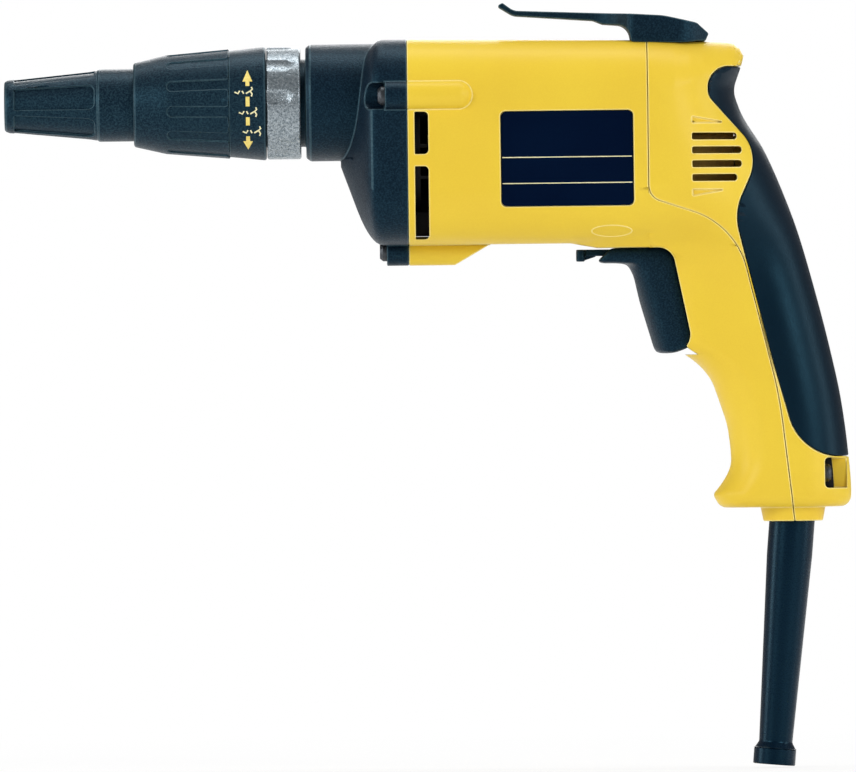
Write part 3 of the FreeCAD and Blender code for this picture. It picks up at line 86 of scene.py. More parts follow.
# a socket that takes part in Python arithmetic; each operator adds one Math node
class Flow:
    def __init__(self, tree, socket=None):
        self.tree = tree
        self.socket = socket

    # any other node: its settings go in first, then the values or links of its sockets
    def add(self, kind, settings=None, inputs=None, out=0):
        node = self.tree.nodes.new(kind)
        for name, value in (settings or {}).items():
            setattr(node, name, value)
        for name, value in (inputs or {}).items():
            if isinstance(value, Flow):
                self.tree.links.new(value.socket, node.inputs[name])
            else:
                node.inputs[name].default_value = value
        return Flow(self.tree, node.outputs[out] if node.outputs else None)

    def maths(self, operation, a, b):
        return self.add("ShaderNodeMath", {"operation": operation}, {0: a, 1: b})

    def __add__(self, other):
        return self.maths("ADD", self, other)

    def __radd__(self, other):
        return self.maths("ADD", other, self)

    def __sub__(self, other):
        return self.maths("SUBTRACT", self, other)

    def __rsub__(self, other):
        return self.maths("SUBTRACT", other, self)

    def __mul__(self, other):
        return self.maths("MULTIPLY", self, other)

    def __rmul__(self, other):
        return self.maths("MULTIPLY", other, self)

    # 0 below low, 1 above high, straight between; the sockets are the value, its span and the new span
    def ramp(self, low, high):
        return self.add("ShaderNodeMapRange", {"clamp": True}, {0: self, 1: low, 2: high, 3: 0.0, 4: 1.0})

    # colour between two shades, by this value; 6, 7 and 2 are the node's colour sockets
    def shade(self, dark, light):
        return self.add("ShaderNodeMix", {"data_type": "RGBA"},
                        {0: self, 6: (*dark, 1.0), 7: (*light, 1.0)}, 2)

    # soft random field with grains of the given size
    def noise(self, size, detail=2.0, rough=0.5, stretch=None):
        place = self
        if stretch:
            place = self.add("ShaderNodeMapping", None, {"Vector": self, "Scale": stretch})
        return self.add("ShaderNodeTexNoise", None,
                        {"Vector": place, "Scale": 1.0 / mm / size, "Detail": detail, "Roughness": rough})

    def bump(self, strength, depth):
        return self.add("ShaderNodeBump", None,
                        {"Height": self, "Strength": strength, "Distance": depth * mm})


# the start of an empty node tree, for a material or the world
def emptyTree(owner):
    owner.use_nodes = True
    owner.node_tree.nodes.clear()
    return Flow(owner.node_tree)


# a material: principled shader with fixed sockets, and others painted from the object's own coordinates
def makeFinish(name, fixed, paint):
    material = bpy.data.materials.new(name)
    start = emptyTree(material)
    place = start.add("ShaderNodeTexCoord", out="Object")
    shader = start.add("ShaderNodeBsdfPrincipled", None, {**fixed, **paint(place)})
    start.add("ShaderNodeOutputMaterial", None, {"Surface": shader})
    return material


mouldedLook = {"cloudSize": 45.0, "cloudDetail": 3.0, "cloudSpan": (0.3, 0.7),
               "sparkDetail": 3.0, "sparkRough": 0.7, "fleckSpan": (0.41, 0.63),
               "hazeSize": 14.0, "hazeDull": 0.08, "fleckGloss": 0.10, "depth": 0.12}


# moulded plastic or rubber: spark grain over faint flow clouds, gloss that varies with the grain and a haze
def moulded(dark, light, speckle, grain, gloss, relief):
    look = mouldedLook

    def paint(place):
        cloud = place.noise(look["cloudSize"], look["cloudDetail"]).ramp(*look["cloudSpan"])
        spark = place.noise(grain, look["sparkDetail"], look["sparkRough"])
        fleck = spark.ramp(*look["fleckSpan"])
        shade = (cloud * (1.0 - speckle) + fleck * speckle).shade(dark, light)
        rough = gloss + look["hazeDull"] * place.noise(look["hazeSize"]) - look["fleckGloss"] * fleck
        return {"Base Color": shade, "Roughness": rough, "Normal": spark.bump(relief, look["depth"])}
    return paint


castLook = {"detail": 3.0, "rough": 0.7, "fineSize": 0.4, "fineRough": 0.6,
            "coarseShare": 0.6, "fineShare": 0.4, "span": (0.36, 0.64),
            "dull": 0.2, "relief": 0.5, "depth": 0.16}


# cast or sintered metal: coarse bright and dark grains with finer ones among them, the dark ones duller
def cast(dark, light, grain, gloss):
    look = castLook

    def paint(place):
        coarse = place.noise(grain, look["detail"], look["rough"])
        fine = place.noise(grain * look["fineSize"], rough=look["fineRough"])
        mask = (look["coarseShare"] * coarse + look["fineShare"] * fine).ramp(*look["span"])
        return {"Base Color": mask.shade(dark, light), "Roughness": gloss + look["dull"] * (1.0 - mask),
                "Normal": (coarse + fine).bump(look["relief"], look["depth"])}
    return paint


turnedLook = {"lineSize": 1.1, "lineStretch": (6.0, 0.6, 0.6), "cloudSize": 8.0,
              "lineShare": 0.7, "cloudShare": 0.3, "span": (0.3, 0.7),
              "dull": 0.15, "relief": 0.25, "depth": 0.05}


# turned, drawn or wound metal: fine lines across X over soft clouds
def turned(dark, light, gloss):
    look = turnedLook

    def paint(place):
        lines = place.noise(look["lineSize"], stretch=look["lineStretch"])
        cloud = place.noise(look["cloudSize"])
        mask = (look["lineShare"] * lines + look["cloudShare"] * cloud).ramp(*look["span"])
        return {"Base Color": mask.shade(dark, light), "Roughness": gloss + look["dull"] * cloud,
                "Normal": lines.bump(look["relief"], look["depth"])}
    return paint


# plastics and rubbers of the outside; all the black ones but the plates have a bluish gloss
inky = {"Specular IOR Level": 0.30, "Specular Tint": (0.26, 0.72, 1.0, 1.0)}
yellowPlastic = makeFinish("yellowPlastic", {"Specular IOR Level": 0.16}, moulded(
    dark=(0.775, 0.525, 0.044), light=(0.830, 0.600, 0.050),
    speckle=0.30, grain=0.55, gloss=0.36, relief=0.06))
blackPlastic = makeFinish("blackPlastic", inky, moulded(
    dark=(0.0001, 0.0012, 0.0080), light=(0.0150, 0.0340, 0.0480),
    speckle=0.92, grain=0.62, gloss=0.38, relief=0.90))
caseBlack = makeFinish("caseBlack", inky, moulded(
    dark=(0.0001, 0.0010, 0.0070), light=(0.0080, 0.0210, 0.0350),
    speckle=0.92, grain=0.65, gloss=0.40, relief=0.90))
gripRubber = makeFinish("gripRubber", inky, moulded(
    dark=(0.0001, 0.0020, 0.0080), light=(0.0008, 0.0062, 0.0150),
    speckle=0.50, grain=0.60, gloss=0.40, relief=0.25))
reliefRubber = makeFinish("reliefRubber", inky, moulded(
    dark=(0.0001, 0.0030, 0.0110), light=(0.0008, 0.0060, 0.0160),
    speckle=0.35, grain=0.60, gloss=0.30, relief=0.10))
plateBlack = makeFinish("plateBlack", {"Specular IOR Level": 0.02}, moulded(
    dark=(0.0001, 0.0034, 0.0180), light=(0.0005, 0.0060, 0.0240),
    speckle=0.30, grain=0.40, gloss=0.50, relief=0.05))

# edges with wear and a painted highlight, lighter than their plastic; and print
blackEdgeWearAndHighlight = makeFinish("blackEdgeWearAndHighlight", inky, moulded(
    dark=(0.0140, 0.0330, 0.0450), light=(0.0460, 0.0800, 0.0980),
    speckle=0.70, grain=0.75, gloss=0.34, relief=0.30))
yellowEdgeWearAndHighlight = makeFinish("yellowEdgeWearAndHighlight", {"Specular IOR Level": 0.25}, moulded(
    dark=(0.850, 0.660, 0.150), light=(0.920, 0.770, 0.280),
    speckle=0.30, grain=0.55, gloss=0.34, relief=0.06))
printYellow = makeFinish("printYellow", {"Specular IOR Level": 0.2}, moulded(
    dark=(0.78, 0.58, 0.120), light=(0.90, 0.76, 0.260),
    speckle=0.5, grain=0.9, gloss=0.45, relief=0.1))
printPale = makeFinish("printPale", {"Specular IOR Level": 0.2}, moulded(
    dark=(0.74, 0.68, 0.36), light=(0.88, 0.84, 0.56),
    speckle=0.5, grain=0.9, gloss=0.45, relief=0.1))

# metals
ringMetal = makeFinish("ringMetal", {"Metallic": 0.85}, cast(
    dark=(0.070, 0.100, 0.120), light=(0.52, 0.58, 0.62), grain=0.80, gloss=0.20))
plateMetal = makeFinish("plateMetal", {"Metallic": 0.9}, cast(
    dark=(0.30, 0.31, 0.32), light=(0.55, 0.56, 0.58), grain=0.8, gloss=0.38))
bronzeMetal = makeFinish("bronzeMetal", {"Metallic": 1.0}, cast(
    dark=(0.36, 0.23, 0.10), light=(0.56, 0.38, 0.18), grain=0.4, gloss=0.34))
darkSteel = makeFinish("darkSteel", {"Metallic": 0.9}, turned(
    dark=(0.030, 0.034, 0.040), light=(0.10, 0.11, 0.12), gloss=0.36))
brightSteel = makeFinish("brightSteel", {"Metallic": 1.0}, turned(
    dark=(0.42, 0.43, 0.44), light=(0.62, 0.63, 0.65), gloss=0.24))
ironSheets = makeFinish("ironSheets", {"Metallic": 0.8}, turned(
    dark=(0.10, 0.10, 0.105), light=(0.24, 0.24, 0.25), gloss=0.40))
copperWire = makeFinish("copperWire", {"Metallic": 0.9}, turned(
    dark=(0.30, 0.11, 0.035), light=(0.62, 0.27, 0.11), gloss=0.30))

# inner mouldings and blocks
innerPlastic = makeFinish("innerPlastic", {"Specular IOR Level": 0.2}, moulded(
    dark=(0.003, 0.004, 0.008), light=(0.010, 0.012, 0.018),
    speckle=0.3, grain=0.5, gloss=0.45, relief=0.1))
ochreBlock = makeFinish("ochreBlock", {"Specular IOR Level": 0.3}, moulded(
    dark=(0.40, 0.24, 0.045), light=(0.58, 0.38, 0.080),
    speckle=0.4, grain=0.8, gloss=0.40, relief=0.1))
carbonBlock = makeFinish("carbonBlock", {"Specular IOR Level": 0.3}, moulded(
    dark=(0.010, 0.010, 0.010), light=(0.040, 0.040, 0.042),
    speckle=0.6, grain=0.3, gloss=0.45, relief=0.2))
print("finishes made")

# which finish each CAD node wears
nodeFinish = {
    "motor_housing": yellowPlastic, "rear_cover": yellowPlastic,
    "nosepiece": blackPlastic, "depth_collar": blackPlastic,
    "gear_case": caseBlack, "belt_hook": caseBlack, "trigger": caseBlack, "reverse_lever": caseBlack,
    "nameplate_left": plateBlack, "nameplate_right": plateBlack,
    "grip_pad": gripRubber, "strain_relief": reliefRubber, "spindle_seal": reliefRubber,
    "lock_ring": ringMetal, "bearing_plate": plateMetal,
    "gear_case_screws": darkSteel, "cover_screws": darkSteel, "belt_hook_screw": darkSteel,
    "cord_clamp_screws": darkSteel, "retaining_ring": darkSteel,
    "spindle": brightSteel, "bit_holder": brightSteel, "bit_magnet": brightSteel, "drive_gear": brightSteel,
    "thrust_washer": brightSteel, "armature_shaft": brightSteel, "front_bearing": brightSteel,
    "rear_bearing": brightSteel, "clutch_spring": brightSteel, "brush_springs": brightSteel,
    "spindle_bush": bronzeMetal, "spindle_rear_bush": bronzeMetal,
    "armature_core": ironSheets, "field_stack": ironSheets,
    "armature_winding": copperWire, "field_coils": copperWire, "commutator": copperWire,
    "switch_body": innerPlastic, "air_baffle": innerPlastic, "fan": innerPlastic, "cord_clamp": innerPlastic,
    "brush_holders": innerPlastic, "brush_plate": innerPlastic,
    "suppressor": ochreBlock, "carbon_brushes": carbonBlock,
}
for name, material in nodeFinish.items():
    mesh = frame["nodes"][name].data
    mesh.materials.clear()
    mesh.materials.append(material)
print("CAD nodes dressed:", len(nodeFinish))

# limits for cleaning a mesh: points this close are one, edges this short collapse, and faces that bend by
# fewer degrees than flat are joined; corners under needle degrees, and faces under sliver square millimetres,
# stay sharp
meshCare = {"merge": 0.004, "shortEdge": 0.02, "flat": 0.08, "needle": 38.0, "sliver": 0.02}


# a new object at the origin, in the scene
def addObject(name, data):
    thing = bpy.data.objects.new(name, data)
    bpy.context.scene.collection.objects.link(thing)
    return thing


# a mesh to work on, with the points that lie on each other merged
def mergedWork(mesh):
    work = bmesh.new()
    work.from_mesh(mesh)
    bmesh.ops.remove_doubles(work, verts=work.verts, dist=meshCare["merge"] * mm)
    return work


# the worked copy of a CAD node's mesh becomes an object in the node's finish
def workedCopy(name, ending, work):
    mesh = bpy.data.meshes.new(name + ending)
    work.to_mesh(mesh)
    work.free()
    mesh.materials.append(nodeFinish[name])
    return addObject(name + ending, mesh)


# the normals that came with the CAD mesh go, because the new edges need new ones
def dropNormals(mesh):
    if "custom_normal" in mesh.attributes:
        mesh.attributes.remove(mesh.attributes["custom_normal"])


# the piece stands in for its CAD node, which is hidden
def standFor(name):
    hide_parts(name)


# the barrel's rounded lower corners: centre and radius of the arc, the same on both sides
barrelCorner = {"y": 14.0, "z": -33.0, "radius": 20.0}


# how far the arc stands out from its centre at height z: root of the radius squared less the drop squared
def cornerReach(z):
    return np.sqrt(np.maximum(barrelCorner["radius"] ** 2 - (z - barrelCorner["z"]) ** 2, 0.0))


# the lower corners run on into the heel: points of the heel's front edge, near x and between the heights, are
# drawn onto the arc if they are at most this far from it; edges inside plainX and plainZ get no rounding
heelEase = {"node": "motor_housing", "x": 222.5, "near": 0.06, "heights": (-52.0, -33.0), "most": 0.8,
            "merge": 0.01, "plainX": (221.8, 224.2), "plainZ": (-54.5, -48.5)}


# y of the chosen points becomes that of the arc at their height, on the side they are on
def easeHeel(work):
    mesh = bpy.data.meshes.new("heelWork")
    work.to_mesh(mesh)
    spots = np.empty(len(mesh.vertices) * 3)
    mesh.vertices.foreach_get("co", spots)
    x, y, z = (spots / mm).reshape(-1, 3).T
    arc = barrelCorner["y"] + cornerReach(z)
    low, high = heelEase["heights"]
    chosen = (abs(x - heelEase["x"]) < heelEase["near"]) & (abs(abs(y) - arc) < heelEase["most"])
    chosen &= (z > low) & (z < high)
    y = np.where(chosen, np.copysign(arc, y), y)
    mesh.vertices.foreach_set("co", np.stack([x, y, z], axis=-1).ravel() * mm)
    work.clear()
    work.from_mesh(mesh)
    bpy.data.meshes.remove(mesh)
    bmesh.ops.remove_doubles(work, verts=work.verts, dist=heelEase["merge"] * mm)
    bmesh.ops.dissolve_degenerate(work, dist=meshCare["shortEdge"] * mm, edges=work.edges)


# whether an edge lies where the heel meets the barrel's corner
def atHeel(edge):
    (x0, x1), (z0, z1) = heelEase["plainX"], heelEase["plainZ"]
    return all(x0 < spot.co.x / mm < x1 and z0 < spot.co.z / mm < z1 for spot in edge.verts)


# outer pieces whose edges are rounded: width of the rounding, and the degrees of bend that it starts at
roundings = {
    "motor_housing": (0.40, 32), "rear_cover": (0.40, 32), "gear_case": (0.45, 26), "belt_hook": (0.45, 26),
    "depth_collar": (0.27, 28), "nosepiece": (0.28, 28), "lock_ring": (0.25, 22), "grip_pad": (0.50, 34),
    "strain_relief": (0.45, 26),
}
roundingSteps = 2
# the rounding's faces take a lighter finish: wear along the edges and a painted highlight
edgeWearAndHighlight = {yellowPlastic: yellowEdgeWearAndHighlight, blackPlastic: blackEdgeWearAndHighlight, caseBlack: blackEdgeWearAndHighlight}


# sharp edges that meet in a needle point, and all edges of a sliver, which a rounding would tear
def needleEdges(work, sharp):
    needles = set()
    for face in work.faces:
        for corner in face.loops:
            pair = {corner.edge, corner.link_loop_prev.edge}
            if pair <= sharp and corner.calc_angle() < math.radians(meshCare["needle"]):
                needles |= pair
        if face.calc_area() < meshCare["sliver"] * mm * mm:
            needles |= set(face.edges)
    return needles


# a copy of a CAD node with its seams merged, its flat triangles joined and its sharp edges rounded
def roundedCopy(name):
    width, bend = roundings[name]
    hasHeel = name == heelEase["node"]
    work = mergedWork(frame["nodes"][name].data)
    bmesh.ops.dissolve_degenerate(work, dist=meshCare["shortEdge"] * mm, edges=work.edges)
    if hasHeel:
        easeHeel(work)
    weight = work.edges.layers.float.new("bevel_weight_edge")
    bmesh.ops.dissolve_limit(work, angle_limit=math.radians(meshCare["flat"]),
                             verts=work.verts, edges=work.edges)
    sharp = {edge for edge in work.edges
             if len(edge.link_faces) == 2 and edge.calc_face_angle() > math.radians(bend)}
    for edge in sharp - needleEdges(work, sharp):
        edge[weight] = 0.0 if hasHeel and atHeel(edge) else 1.0
    piece = workedCopy(name, "_shell", work)
    mesh = piece.data
    dropNormals(mesh)
    mesh.shade_smooth()
    mesh.set_sharp_from_angle(angle=math.radians(bend))
    # second slot: the lighter edge finish, wear and a painted highlight, for the rounding's faces
    mesh.materials.append(edgeWearAndHighlight.get(nodeFinish[name], nodeFinish[name]))
    rounding = piece.modifiers.new("rounding", "BEVEL")
    rounding.width = width * mm
    rounding.segments = roundingSteps
    rounding.limit_method = "WEIGHT"
    rounding.material = 1
    rounding.use_clamp_overlap = False
    rounding.loop_slide = False
    rounding.harden_normals = True
    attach(piece, frame["nodes"][name]["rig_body"])
    standFor(name)


for name in roundings:
    roundedCopy(name)
print("edges rounded:", len(roundings))

# pieces moulded soft all over: size of the even grid that they are remeshed on, and rounds of smoothing
softMoulded = {"trigger": (0.45, 110), "reverse_lever": (0.30, 10)}
smoothShare = 0.5


# a copy of a CAD node remeshed on an even grid; each round moves every point part of the way to the middle of
# its neighbours, which rounds all edges and hollows alike
def softCopy(name):
    grid, rounds = softMoulded[name]
    piece = workedCopy(name, "_shell", mergedWork(frame["nodes"][name].data))
    dropNormals(piece.data)
    even = piece.modifiers.new("even", "REMESH")
    even.mode = "VOXEL"
    even.voxel_size = grid * mm
    even.use_smooth_shade = True
    smooth = piece.modifiers.new("smooth", "SMOOTH")
    smooth.factor = smoothShare
    smooth.iterations = rounds
    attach(piece, frame["nodes"][name]["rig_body"])
    standFor(name)


for name in softMoulded:
    softCopy(name)
print("soft mouldings made:", len(softMoulded))


# the clutch spring gives way as the spindle is pushed in; here it is a copy with its seams merged and its
# place baked into its points, standing in for its CAD node
def softSpring(name):
    piece = workedCopy(name, "_coil", mergedWork(frame["nodes"][name].data))
    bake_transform(piece)
    standFor(name)


softSpring("clutch_spring")


# a piece from arrays of points, each a grid of rows by columns; closed says whether the columns join up, and
# then rows that meet, and poles, are merged too
def gridPiece(name, grids, material, body, closed=False):
    spots, faces, start = [], [], 0
    for grid in grids:
        rows, columns = grid.shape[:2]
        number = start + np.arange(rows * columns).reshape(rows, columns)
        after = np.roll(number, -1, axis=1) if closed else number[:, 1:]
        here = number if closed else number[:, :-1]
        corners = np.stack([here[:-1], after[:-1], after[1:], here[1:]], axis=-1)
        faces.append(corners.reshape(-1, 4))
        spots.append(grid.reshape(-1, 3))
        start += rows * columns
    mesh = bpy.data.meshes.new(name)
    mesh.from_pydata((np.concatenate(spots) * mm).tolist(), [], np.concatenate(faces).tolist())
    if closed:
        work = mergedWork(mesh)
        bmesh.ops.recalc_face_normals(work, faces=work.faces)
        work.to_mesh(mesh)
        work.free()
    mesh.shade_smooth()
    mesh.materials.append(material)
    piece = addObject(name, mesh)
    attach(piece, body)


# a sine or cosine raised to a power, with its sign kept: the smaller the power, the squarer the round
def squared(value, power):
    return np.sign(value) * np.abs(value) ** power


# blocks with soft corners: two low walls of the air baffle beside the fan, a dark block of painted shade in
# the pocket round the heads of the cover screws, and the web under the reversing lever's arm; each has its
# lowest and highest corners, and keep is the share of its height left at the rear
softBlocks = {
    "air_baffle_wall_right": {"low": (135.4, 12.4, -49.4), "high": (145.9, 14.0, -40.9), "keep": 1.0,
                              "finish": innerPlastic, "body": "housing"},
    "air_baffle_wall_left": {"low": (135.4, -14.0, -49.4), "high": (145.9, -12.4, -40.9), "keep": 1.0,
                             "finish": innerPlastic, "body": "housing"},
    # painted shade: a dark block that darkens the pocket round the cover screws' heads
    "screw_well": {"low": (286.2, -5.3, -145.4), "high": (289.9, 5.3, -132.9), "keep": 1.0,
                   "finish": innerPlastic, "body": "housing"},
    "reverse_lever_web": {"low": (198.2, -2.6, -59.7), "high": (203.0, 2.6, -56.6), "keep": 0.5,
                          "finish": caseBlack, "body": "reverse_lever"},
}
blockRound = {"power": 0.12, "rows": 25, "columns": 32, "poleDigits": 9}


# rounded block: a sphere's longitude and latitude, with all sines and cosines raised to a small power; its
# height below its top then shrinks evenly from front to rear
def makeBlock(name):
    block, power = softBlocks[name], blockRound["power"]
    low, high = np.array(block["low"]), np.array(block["high"])
    rise = np.linspace(-0.5, 0.5, blockRound["rows"])[:, None] * math.pi
    turn = np.linspace(0.0, 2.0, blockRound["columns"], endpoint=False)[None, :] * math.pi
    level = np.cos(rise).round(blockRound["poleDigits"])  # exactly 0 at the poles, so that they close
    flat = squared(level, power)
    shape = np.stack([flat * squared(np.cos(turn), power), flat * squared(np.sin(turn), power),
                      squared(np.sin(rise), power) + 0.0 * turn], axis=-1)
    share = 1.0 - (1.0 - block["keep"]) * (shape[..., 0] + 1.0) / 2.0
    shape[..., 2] = 1.0 - (1.0 - shape[..., 2]) * share
    grid = (low + high) / 2 + shape * (high - low) / 2
    gridPiece(name, [grid], block["finish"], block["body"], True)


for name in softBlocks:
    makeBlock(name)

# thin lip on the front of the fan's ring
fanLip = {"axisZ": -15.0, "x": (136.25, 136.9), "radius": (23.0, 27.6), "power": 0.25,
          "rows": 97, "columns": 16}


# small rectangle with soft corners carried once round the motor's axis
def makeFanLip():
    (x0, x1), (r0, r1) = fanLip["x"], fanLip["radius"]
    turn = np.linspace(0.0, 2.0, fanLip["rows"])[:, None] * math.pi
    corner = np.linspace(0.0, 2.0, fanLip["columns"], endpoint=False)[None, :] * math.pi
    x = (x0 + x1) / 2 + squared(np.cos(corner), fanLip["power"]) * (x1 - x0) / 2
    radius = (r0 + r1) / 2 + squared(np.sin(corner), fanLip["power"]) * (r1 - r0) / 2
    grid = np.stack([x + 0.0 * turn, radius * np.cos(turn), fanLip["axisZ"] + radius * np.sin(turn)], axis=-1)
    gridPiece("fan_lip", [grid], innerPlastic, "armature", True)


makeFanLip()
print("small blocks and fan lip made")

# print on the collar: a double arrow round it, broken by three small screws, each set deeper than the last;
# the strokes are lines of (x, height) from a screw's middle
collarPrint = {
    "x": 75.1, "bandFront": (68.3, 19.63), "bandRear": (81.3, 21.0), "lift": 0.035, "steps": 8,
    "tips": (12.2, -17.0), "heads": (4.2, 3.024), "tipHalf": 0.02, "headHalf": 1.8, "shaftHalf": 0.72,
    "screws": (4.35, -3.2, -10.2), "screwShift": (-1.4, 0.15, 1.5), "clear": 2.0, "strokeHalf": 0.27,
    "strokes": [[(-3.4, -0.2), (-2.1, -0.8), (-1.5, 0.25)], [(-0.6, 0.2), (0.0, -0.85)],
                [(0.8, -0.8), (2.4, 0.1)], [(2.4, 0.1), (3.2, 0.8), (2.8, 1.6)],
                [(2.4, 0.1), (3.1, -1.0), (2.8, -1.9)]],
}


# point on the collar's cone: x along it, height as seen from the side, radius grown by the print's lift
def onCollar(x, height):
    (x0, r0), (x1, r1) = collarPrint["bandFront"], collarPrint["bandRear"]
    radius = r0 + (r1 - r0) * (x - x0) / (x1 - x0) + collarPrint["lift"]
    return np.stack([x, -np.sqrt(radius ** 2 - height ** 2), height], axis=-1)


# strip along a line of (x, height) points: each row is one point moved to both sides by its half width
def ribbon(line, halves):
    line = np.array(line, float)
    way = np.gradient(line, axis=0)
    way /= np.linalg.norm(way, axis=1, keepdims=True)
    side = np.stack([-way[:, 1], way[:, 0]], axis=-1)
    offset = np.array([1.0, 0.0, -1.0])[None, :, None] * side[:, None, :] * np.array(halves)[:, None, None]
    flat = line[:, None, :] + offset
    return onCollar(flat[..., 0], flat[..., 1])


# heads that widen evenly from their tips, with even strips of shaft from head to screw, screw to screw and on
# to the other head; each screw is its strokes moved to the screw's place
def printCollar():
    x, steps = collarPrint["x"], collarPrint["steps"]
    (highTip, lowTip), (highHead, lowHead) = collarPrint["tips"], collarPrint["heads"]
    across = np.full(steps, x)
    run = np.linspace(0.0, 1.0, steps)
    arrow = []
    for tip, head in ((highTip, -highHead), (lowTip, lowHead)):
        halves = collarPrint["tipHalf"] + collarPrint["headHalf"] * run
        arrow.append(ribbon(np.stack([across, tip + head * run], axis=-1), halves))
    ends = [highTip - highHead]
    for level in collarPrint["screws"]:
        ends += [level + collarPrint["clear"], level - collarPrint["clear"]]
    ends.append(lowTip + lowHead)
    for top, bottom in zip(ends[::2], ends[1::2]):
        line = np.stack([across, np.linspace(top, bottom, steps)], axis=-1)
        arrow.append(ribbon(line, np.full(steps, collarPrint["shaftHalf"])))
    gridPiece("collar_arrow", arrow, printYellow, "depth_collar")
    screws = []
    for level, shift in zip(collarPrint["screws"], collarPrint["screwShift"]):
        for stroke in collarPrint["strokes"]:
            line = np.array(stroke) + (x + shift, level)
            screws.append(ribbon(line, np.full(len(line), collarPrint["strokeHalf"])))
    gridPiece("collar_screws", screws, printPale, "depth_collar")


printCollar()

# two fine rules on each nameplate
plateRules = {"levels": (-21.4, -31.0), "half": 0.17, "lift": 0.03, "inset": 0.4, "steps": 12}


# flat strips along X just proud of the plate's outer face, at each level plus and minus half a line
def ruleNameplate(node, side):
    low, high = (np.array(corner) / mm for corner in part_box(node))
    y = (high[1] if side > 0 else low[1]) + side * plateRules["lift"]
    x = np.linspace(low[0] + plateRules["inset"], high[0] - plateRules["inset"], plateRules["steps"])
    grids = []
    for level in plateRules["levels"]:
        z = level + side * plateRules["half"] * np.array([1.0, -1.0])
        grids.append(np.stack(np.broadcast_arrays(x[:, None], y, z[None, :]), axis=-1))
    gridPiece(node + "_rules", grids, printPale, "housing")


ruleNameplate("nameplate_right", 1)
ruleNameplate("nameplate_left", -1)

# raised empty oval low on each side of the barrel
ovalRim = {"x": 208.9, "z": -48.8, "halfLength": 7.4, "halfHeight": 2.05, "bead": 0.32, "sunk": 0.10,
           "rows": 97, "columns": 8}


# bead round an ellipse that lies on the barrel's rounded lower corner: a small circle carried along it
def makeOval(name, side):
    turn = np.linspace(0.0, 2 * math.pi, ovalRim["rows"])
    x = ovalRim["x"] + ovalRim["halfLength"] * np.cos(turn)
    z = ovalRim["z"] + ovalRim["halfHeight"] * np.sin(turn)
    out = np.stack([0 * z, cornerReach(z), z - barrelCorner["z"]], axis=-1) / barrelCorner["radius"]
    base = np.stack([x, 0 * x + barrelCorner["y"], 0 * x + barrelCorner["z"]], axis=-1)
    centre = base + out * (barrelCorner["radius"] - ovalRim["sunk"])
    way = np.gradient(centre, axis=0)
    way /= np.linalg.norm(way, axis=1, keepdims=True)
    across = np.cross(way, out)
    around = np.linspace(0.0, 2 * math.pi, ovalRim["columns"], endpoint=False)[None, :, None]
    ring = np.cos(around) * out[:, None, :] + np.sin(around) * across[:, None, :]
    grid = centre[:, None, :] + ovalRim["bead"] * ring
    grid[..., 1] *= side
    # the bead wears the paler edge finish, which paints a highlight on it
    gridPiece(name, [grid], yellowEdgeWearAndHighlight, "housing", True)


makeOval("oval_rim_right", 1)
makeOval("oval_rim_left", -1)
print("prints and oval rims made")

# camera of the photograph: level, square on to the tool's side, long lens; clip in metres, tilt in degrees
cameraSet = {"aim": (140.4, 0.0, -105.2), "width": 316.7, "lens": 900.0, "sensor": 36.0, "tilt": 0.7,
             "clip": (0.05, 50.0)}
aim = np.array(cameraSet["aim"]) * mm


# its distance is the width that it sees, times lens over sensor
def makeCamera():
    lens = bpy.data.cameras.new("camera")
    lens.lens = cameraSet["lens"]
    lens.sensor_width = cameraSet["sensor"]
    lens.clip_start, lens.clip_end = cameraSet["clip"]
    camera = addObject("camera", lens)
    distance = cameraSet["width"] * mm * cameraSet["lens"] / cameraSet["sensor"]
    camera.location = aim - np.array([0.0, distance, 0.0])
    camera.rotation_euler = (math.radians(90.0), math.radians(cameraSet["tilt"]), 0.0)
    bpy.context.scene.camera = camera


white = (1.0, 1.0, 1.0, 1.0)

# pale floor just under the tool, in metres: keep is the share of plain white near the centre, where the rest
# takes the tool's shadow, and white takes over as the distance goes through fade
floorSet = {"drop": 0.0004, "size": 12.0, "colour": (0.9, 0.9, 0.9, 1.0), "centreX": 0.14, "keep": 0.80,
            "fade": (0.25, 0.9)}


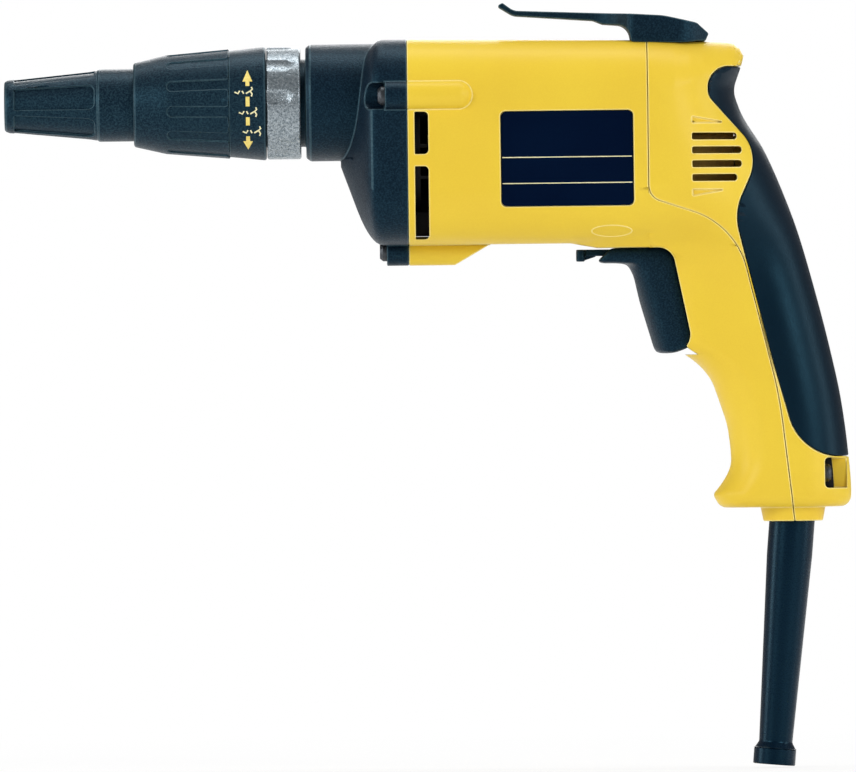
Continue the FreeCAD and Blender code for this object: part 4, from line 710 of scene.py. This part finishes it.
# one square, white to the camera but for the share that is matte
def makeFloor():
    low = cadBox[0][2] - floorSet["drop"]
    half = floorSet["size"] / 2
    mesh = bpy.data.meshes.new("floor")
    mesh.from_pydata([(-half, -half, low), (half, -half, low), (half, half, low), (-half, half, low)], [],
                     [(0, 1, 2, 3)])
    material = bpy.data.materials.new("paleFloor")
    start = emptyTree(material)
    direct = start.add("ShaderNodeLightPath", out="Is Camera Ray")
    through = start.add("ShaderNodeLightPath", out="Is Transmission Ray")
    place = start.add("ShaderNodeTexCoord", out="Object")
    away = start.add("ShaderNodeVectorMath", {"operation": "DISTANCE"},
                     {0: place, 1: (floorSet["centreX"], 0.0, low)}, "Value")
    share = floorSet["keep"] + (1.0 - floorSet["keep"]) * away.ramp(*floorSet["fade"])
    matte = start.add("ShaderNodeBsdfDiffuse", None, {"Color": floorSet["colour"]})
    plain = start.add("ShaderNodeEmission", None, {"Color": white, "Strength": 1.0})
    seen = start.maths("MAXIMUM", direct, through)
    mixed = start.add("ShaderNodeMixShader", None, {0: seen * share, 1: matte, 2: plain})
    start.add("ShaderNodeOutputMaterial", None, {"Surface": mixed})
    mesh.materials.append(material)
    addObject("floor", mesh)


ambient = 0.22  # strength of the world's light on the tool


# white where the camera looks past the tool, dim for the light that reaches the tool
def makeWorld():
    world = bpy.data.worlds.new("studio")
    bpy.context.scene.world = world
    start = emptyTree(world)
    direct = start.add("ShaderNodeLightPath", out="Is Camera Ray")
    soft = start.add("ShaderNodeBackground", None, {"Color": white, "Strength": ambient})
    plain = start.add("ShaderNodeBackground", None, {"Color": white, "Strength": 1.0})
    mixed = start.add("ShaderNodeMixShader", None, {0: direct, 1: soft, 2: plain})
    start.add("ShaderNodeOutputWorld", None, {"Surface": mixed})


# soft lamps: place from the camera's aim and size in metres, power in watts
lamps = {
    "frontLeft": {"place": (-1.4, -1.5, 0.7), "size": (0.7, 0.9), "power": 17.0},
    "frontRight": {"place": (1.4, -1.5, 0.6), "size": (0.7, 0.9), "power": 14.0},
    "top": {"place": (0.1, 0.15, 1.5), "size": (1.8, 0.5), "power": 12.0},
    "left": {"place": (-1.6, -0.15, 0.2), "size": (0.5, 1.4), "power": 10.0},
    "right": {"place": (1.6, -0.2, 0.1), "size": (0.4, 1.6), "power": 8.0},
    "back": {"place": (0.2, 1.7, 0.8), "size": (1.2, 0.9), "power": 12.0},
}


# each lamp is turned so that it faces the aim
def makeLamp(name):
    place = np.array(lamps[name]["place"])
    lamp = bpy.data.lights.new(name, "AREA")
    lamp.shape = "RECTANGLE"
    lamp.size, lamp.size_y = lamps[name]["size"]
    lamp.energy = lamps[name]["power"]
    holder = addObject(name, lamp)
    holder.location = aim + place
    direction = place / np.linalg.norm(place)
    holder.rotation_euler = (math.acos(direction[2]), 0.0, math.atan2(direction[0], -direction[1]))


makeCamera()
makeFloor()
makeWorld()
for name in lamps:
    makeLamp(name)
bpy.context.scene.view_settings.view_transform = "Standard"
print("camera, floor and lamps set")
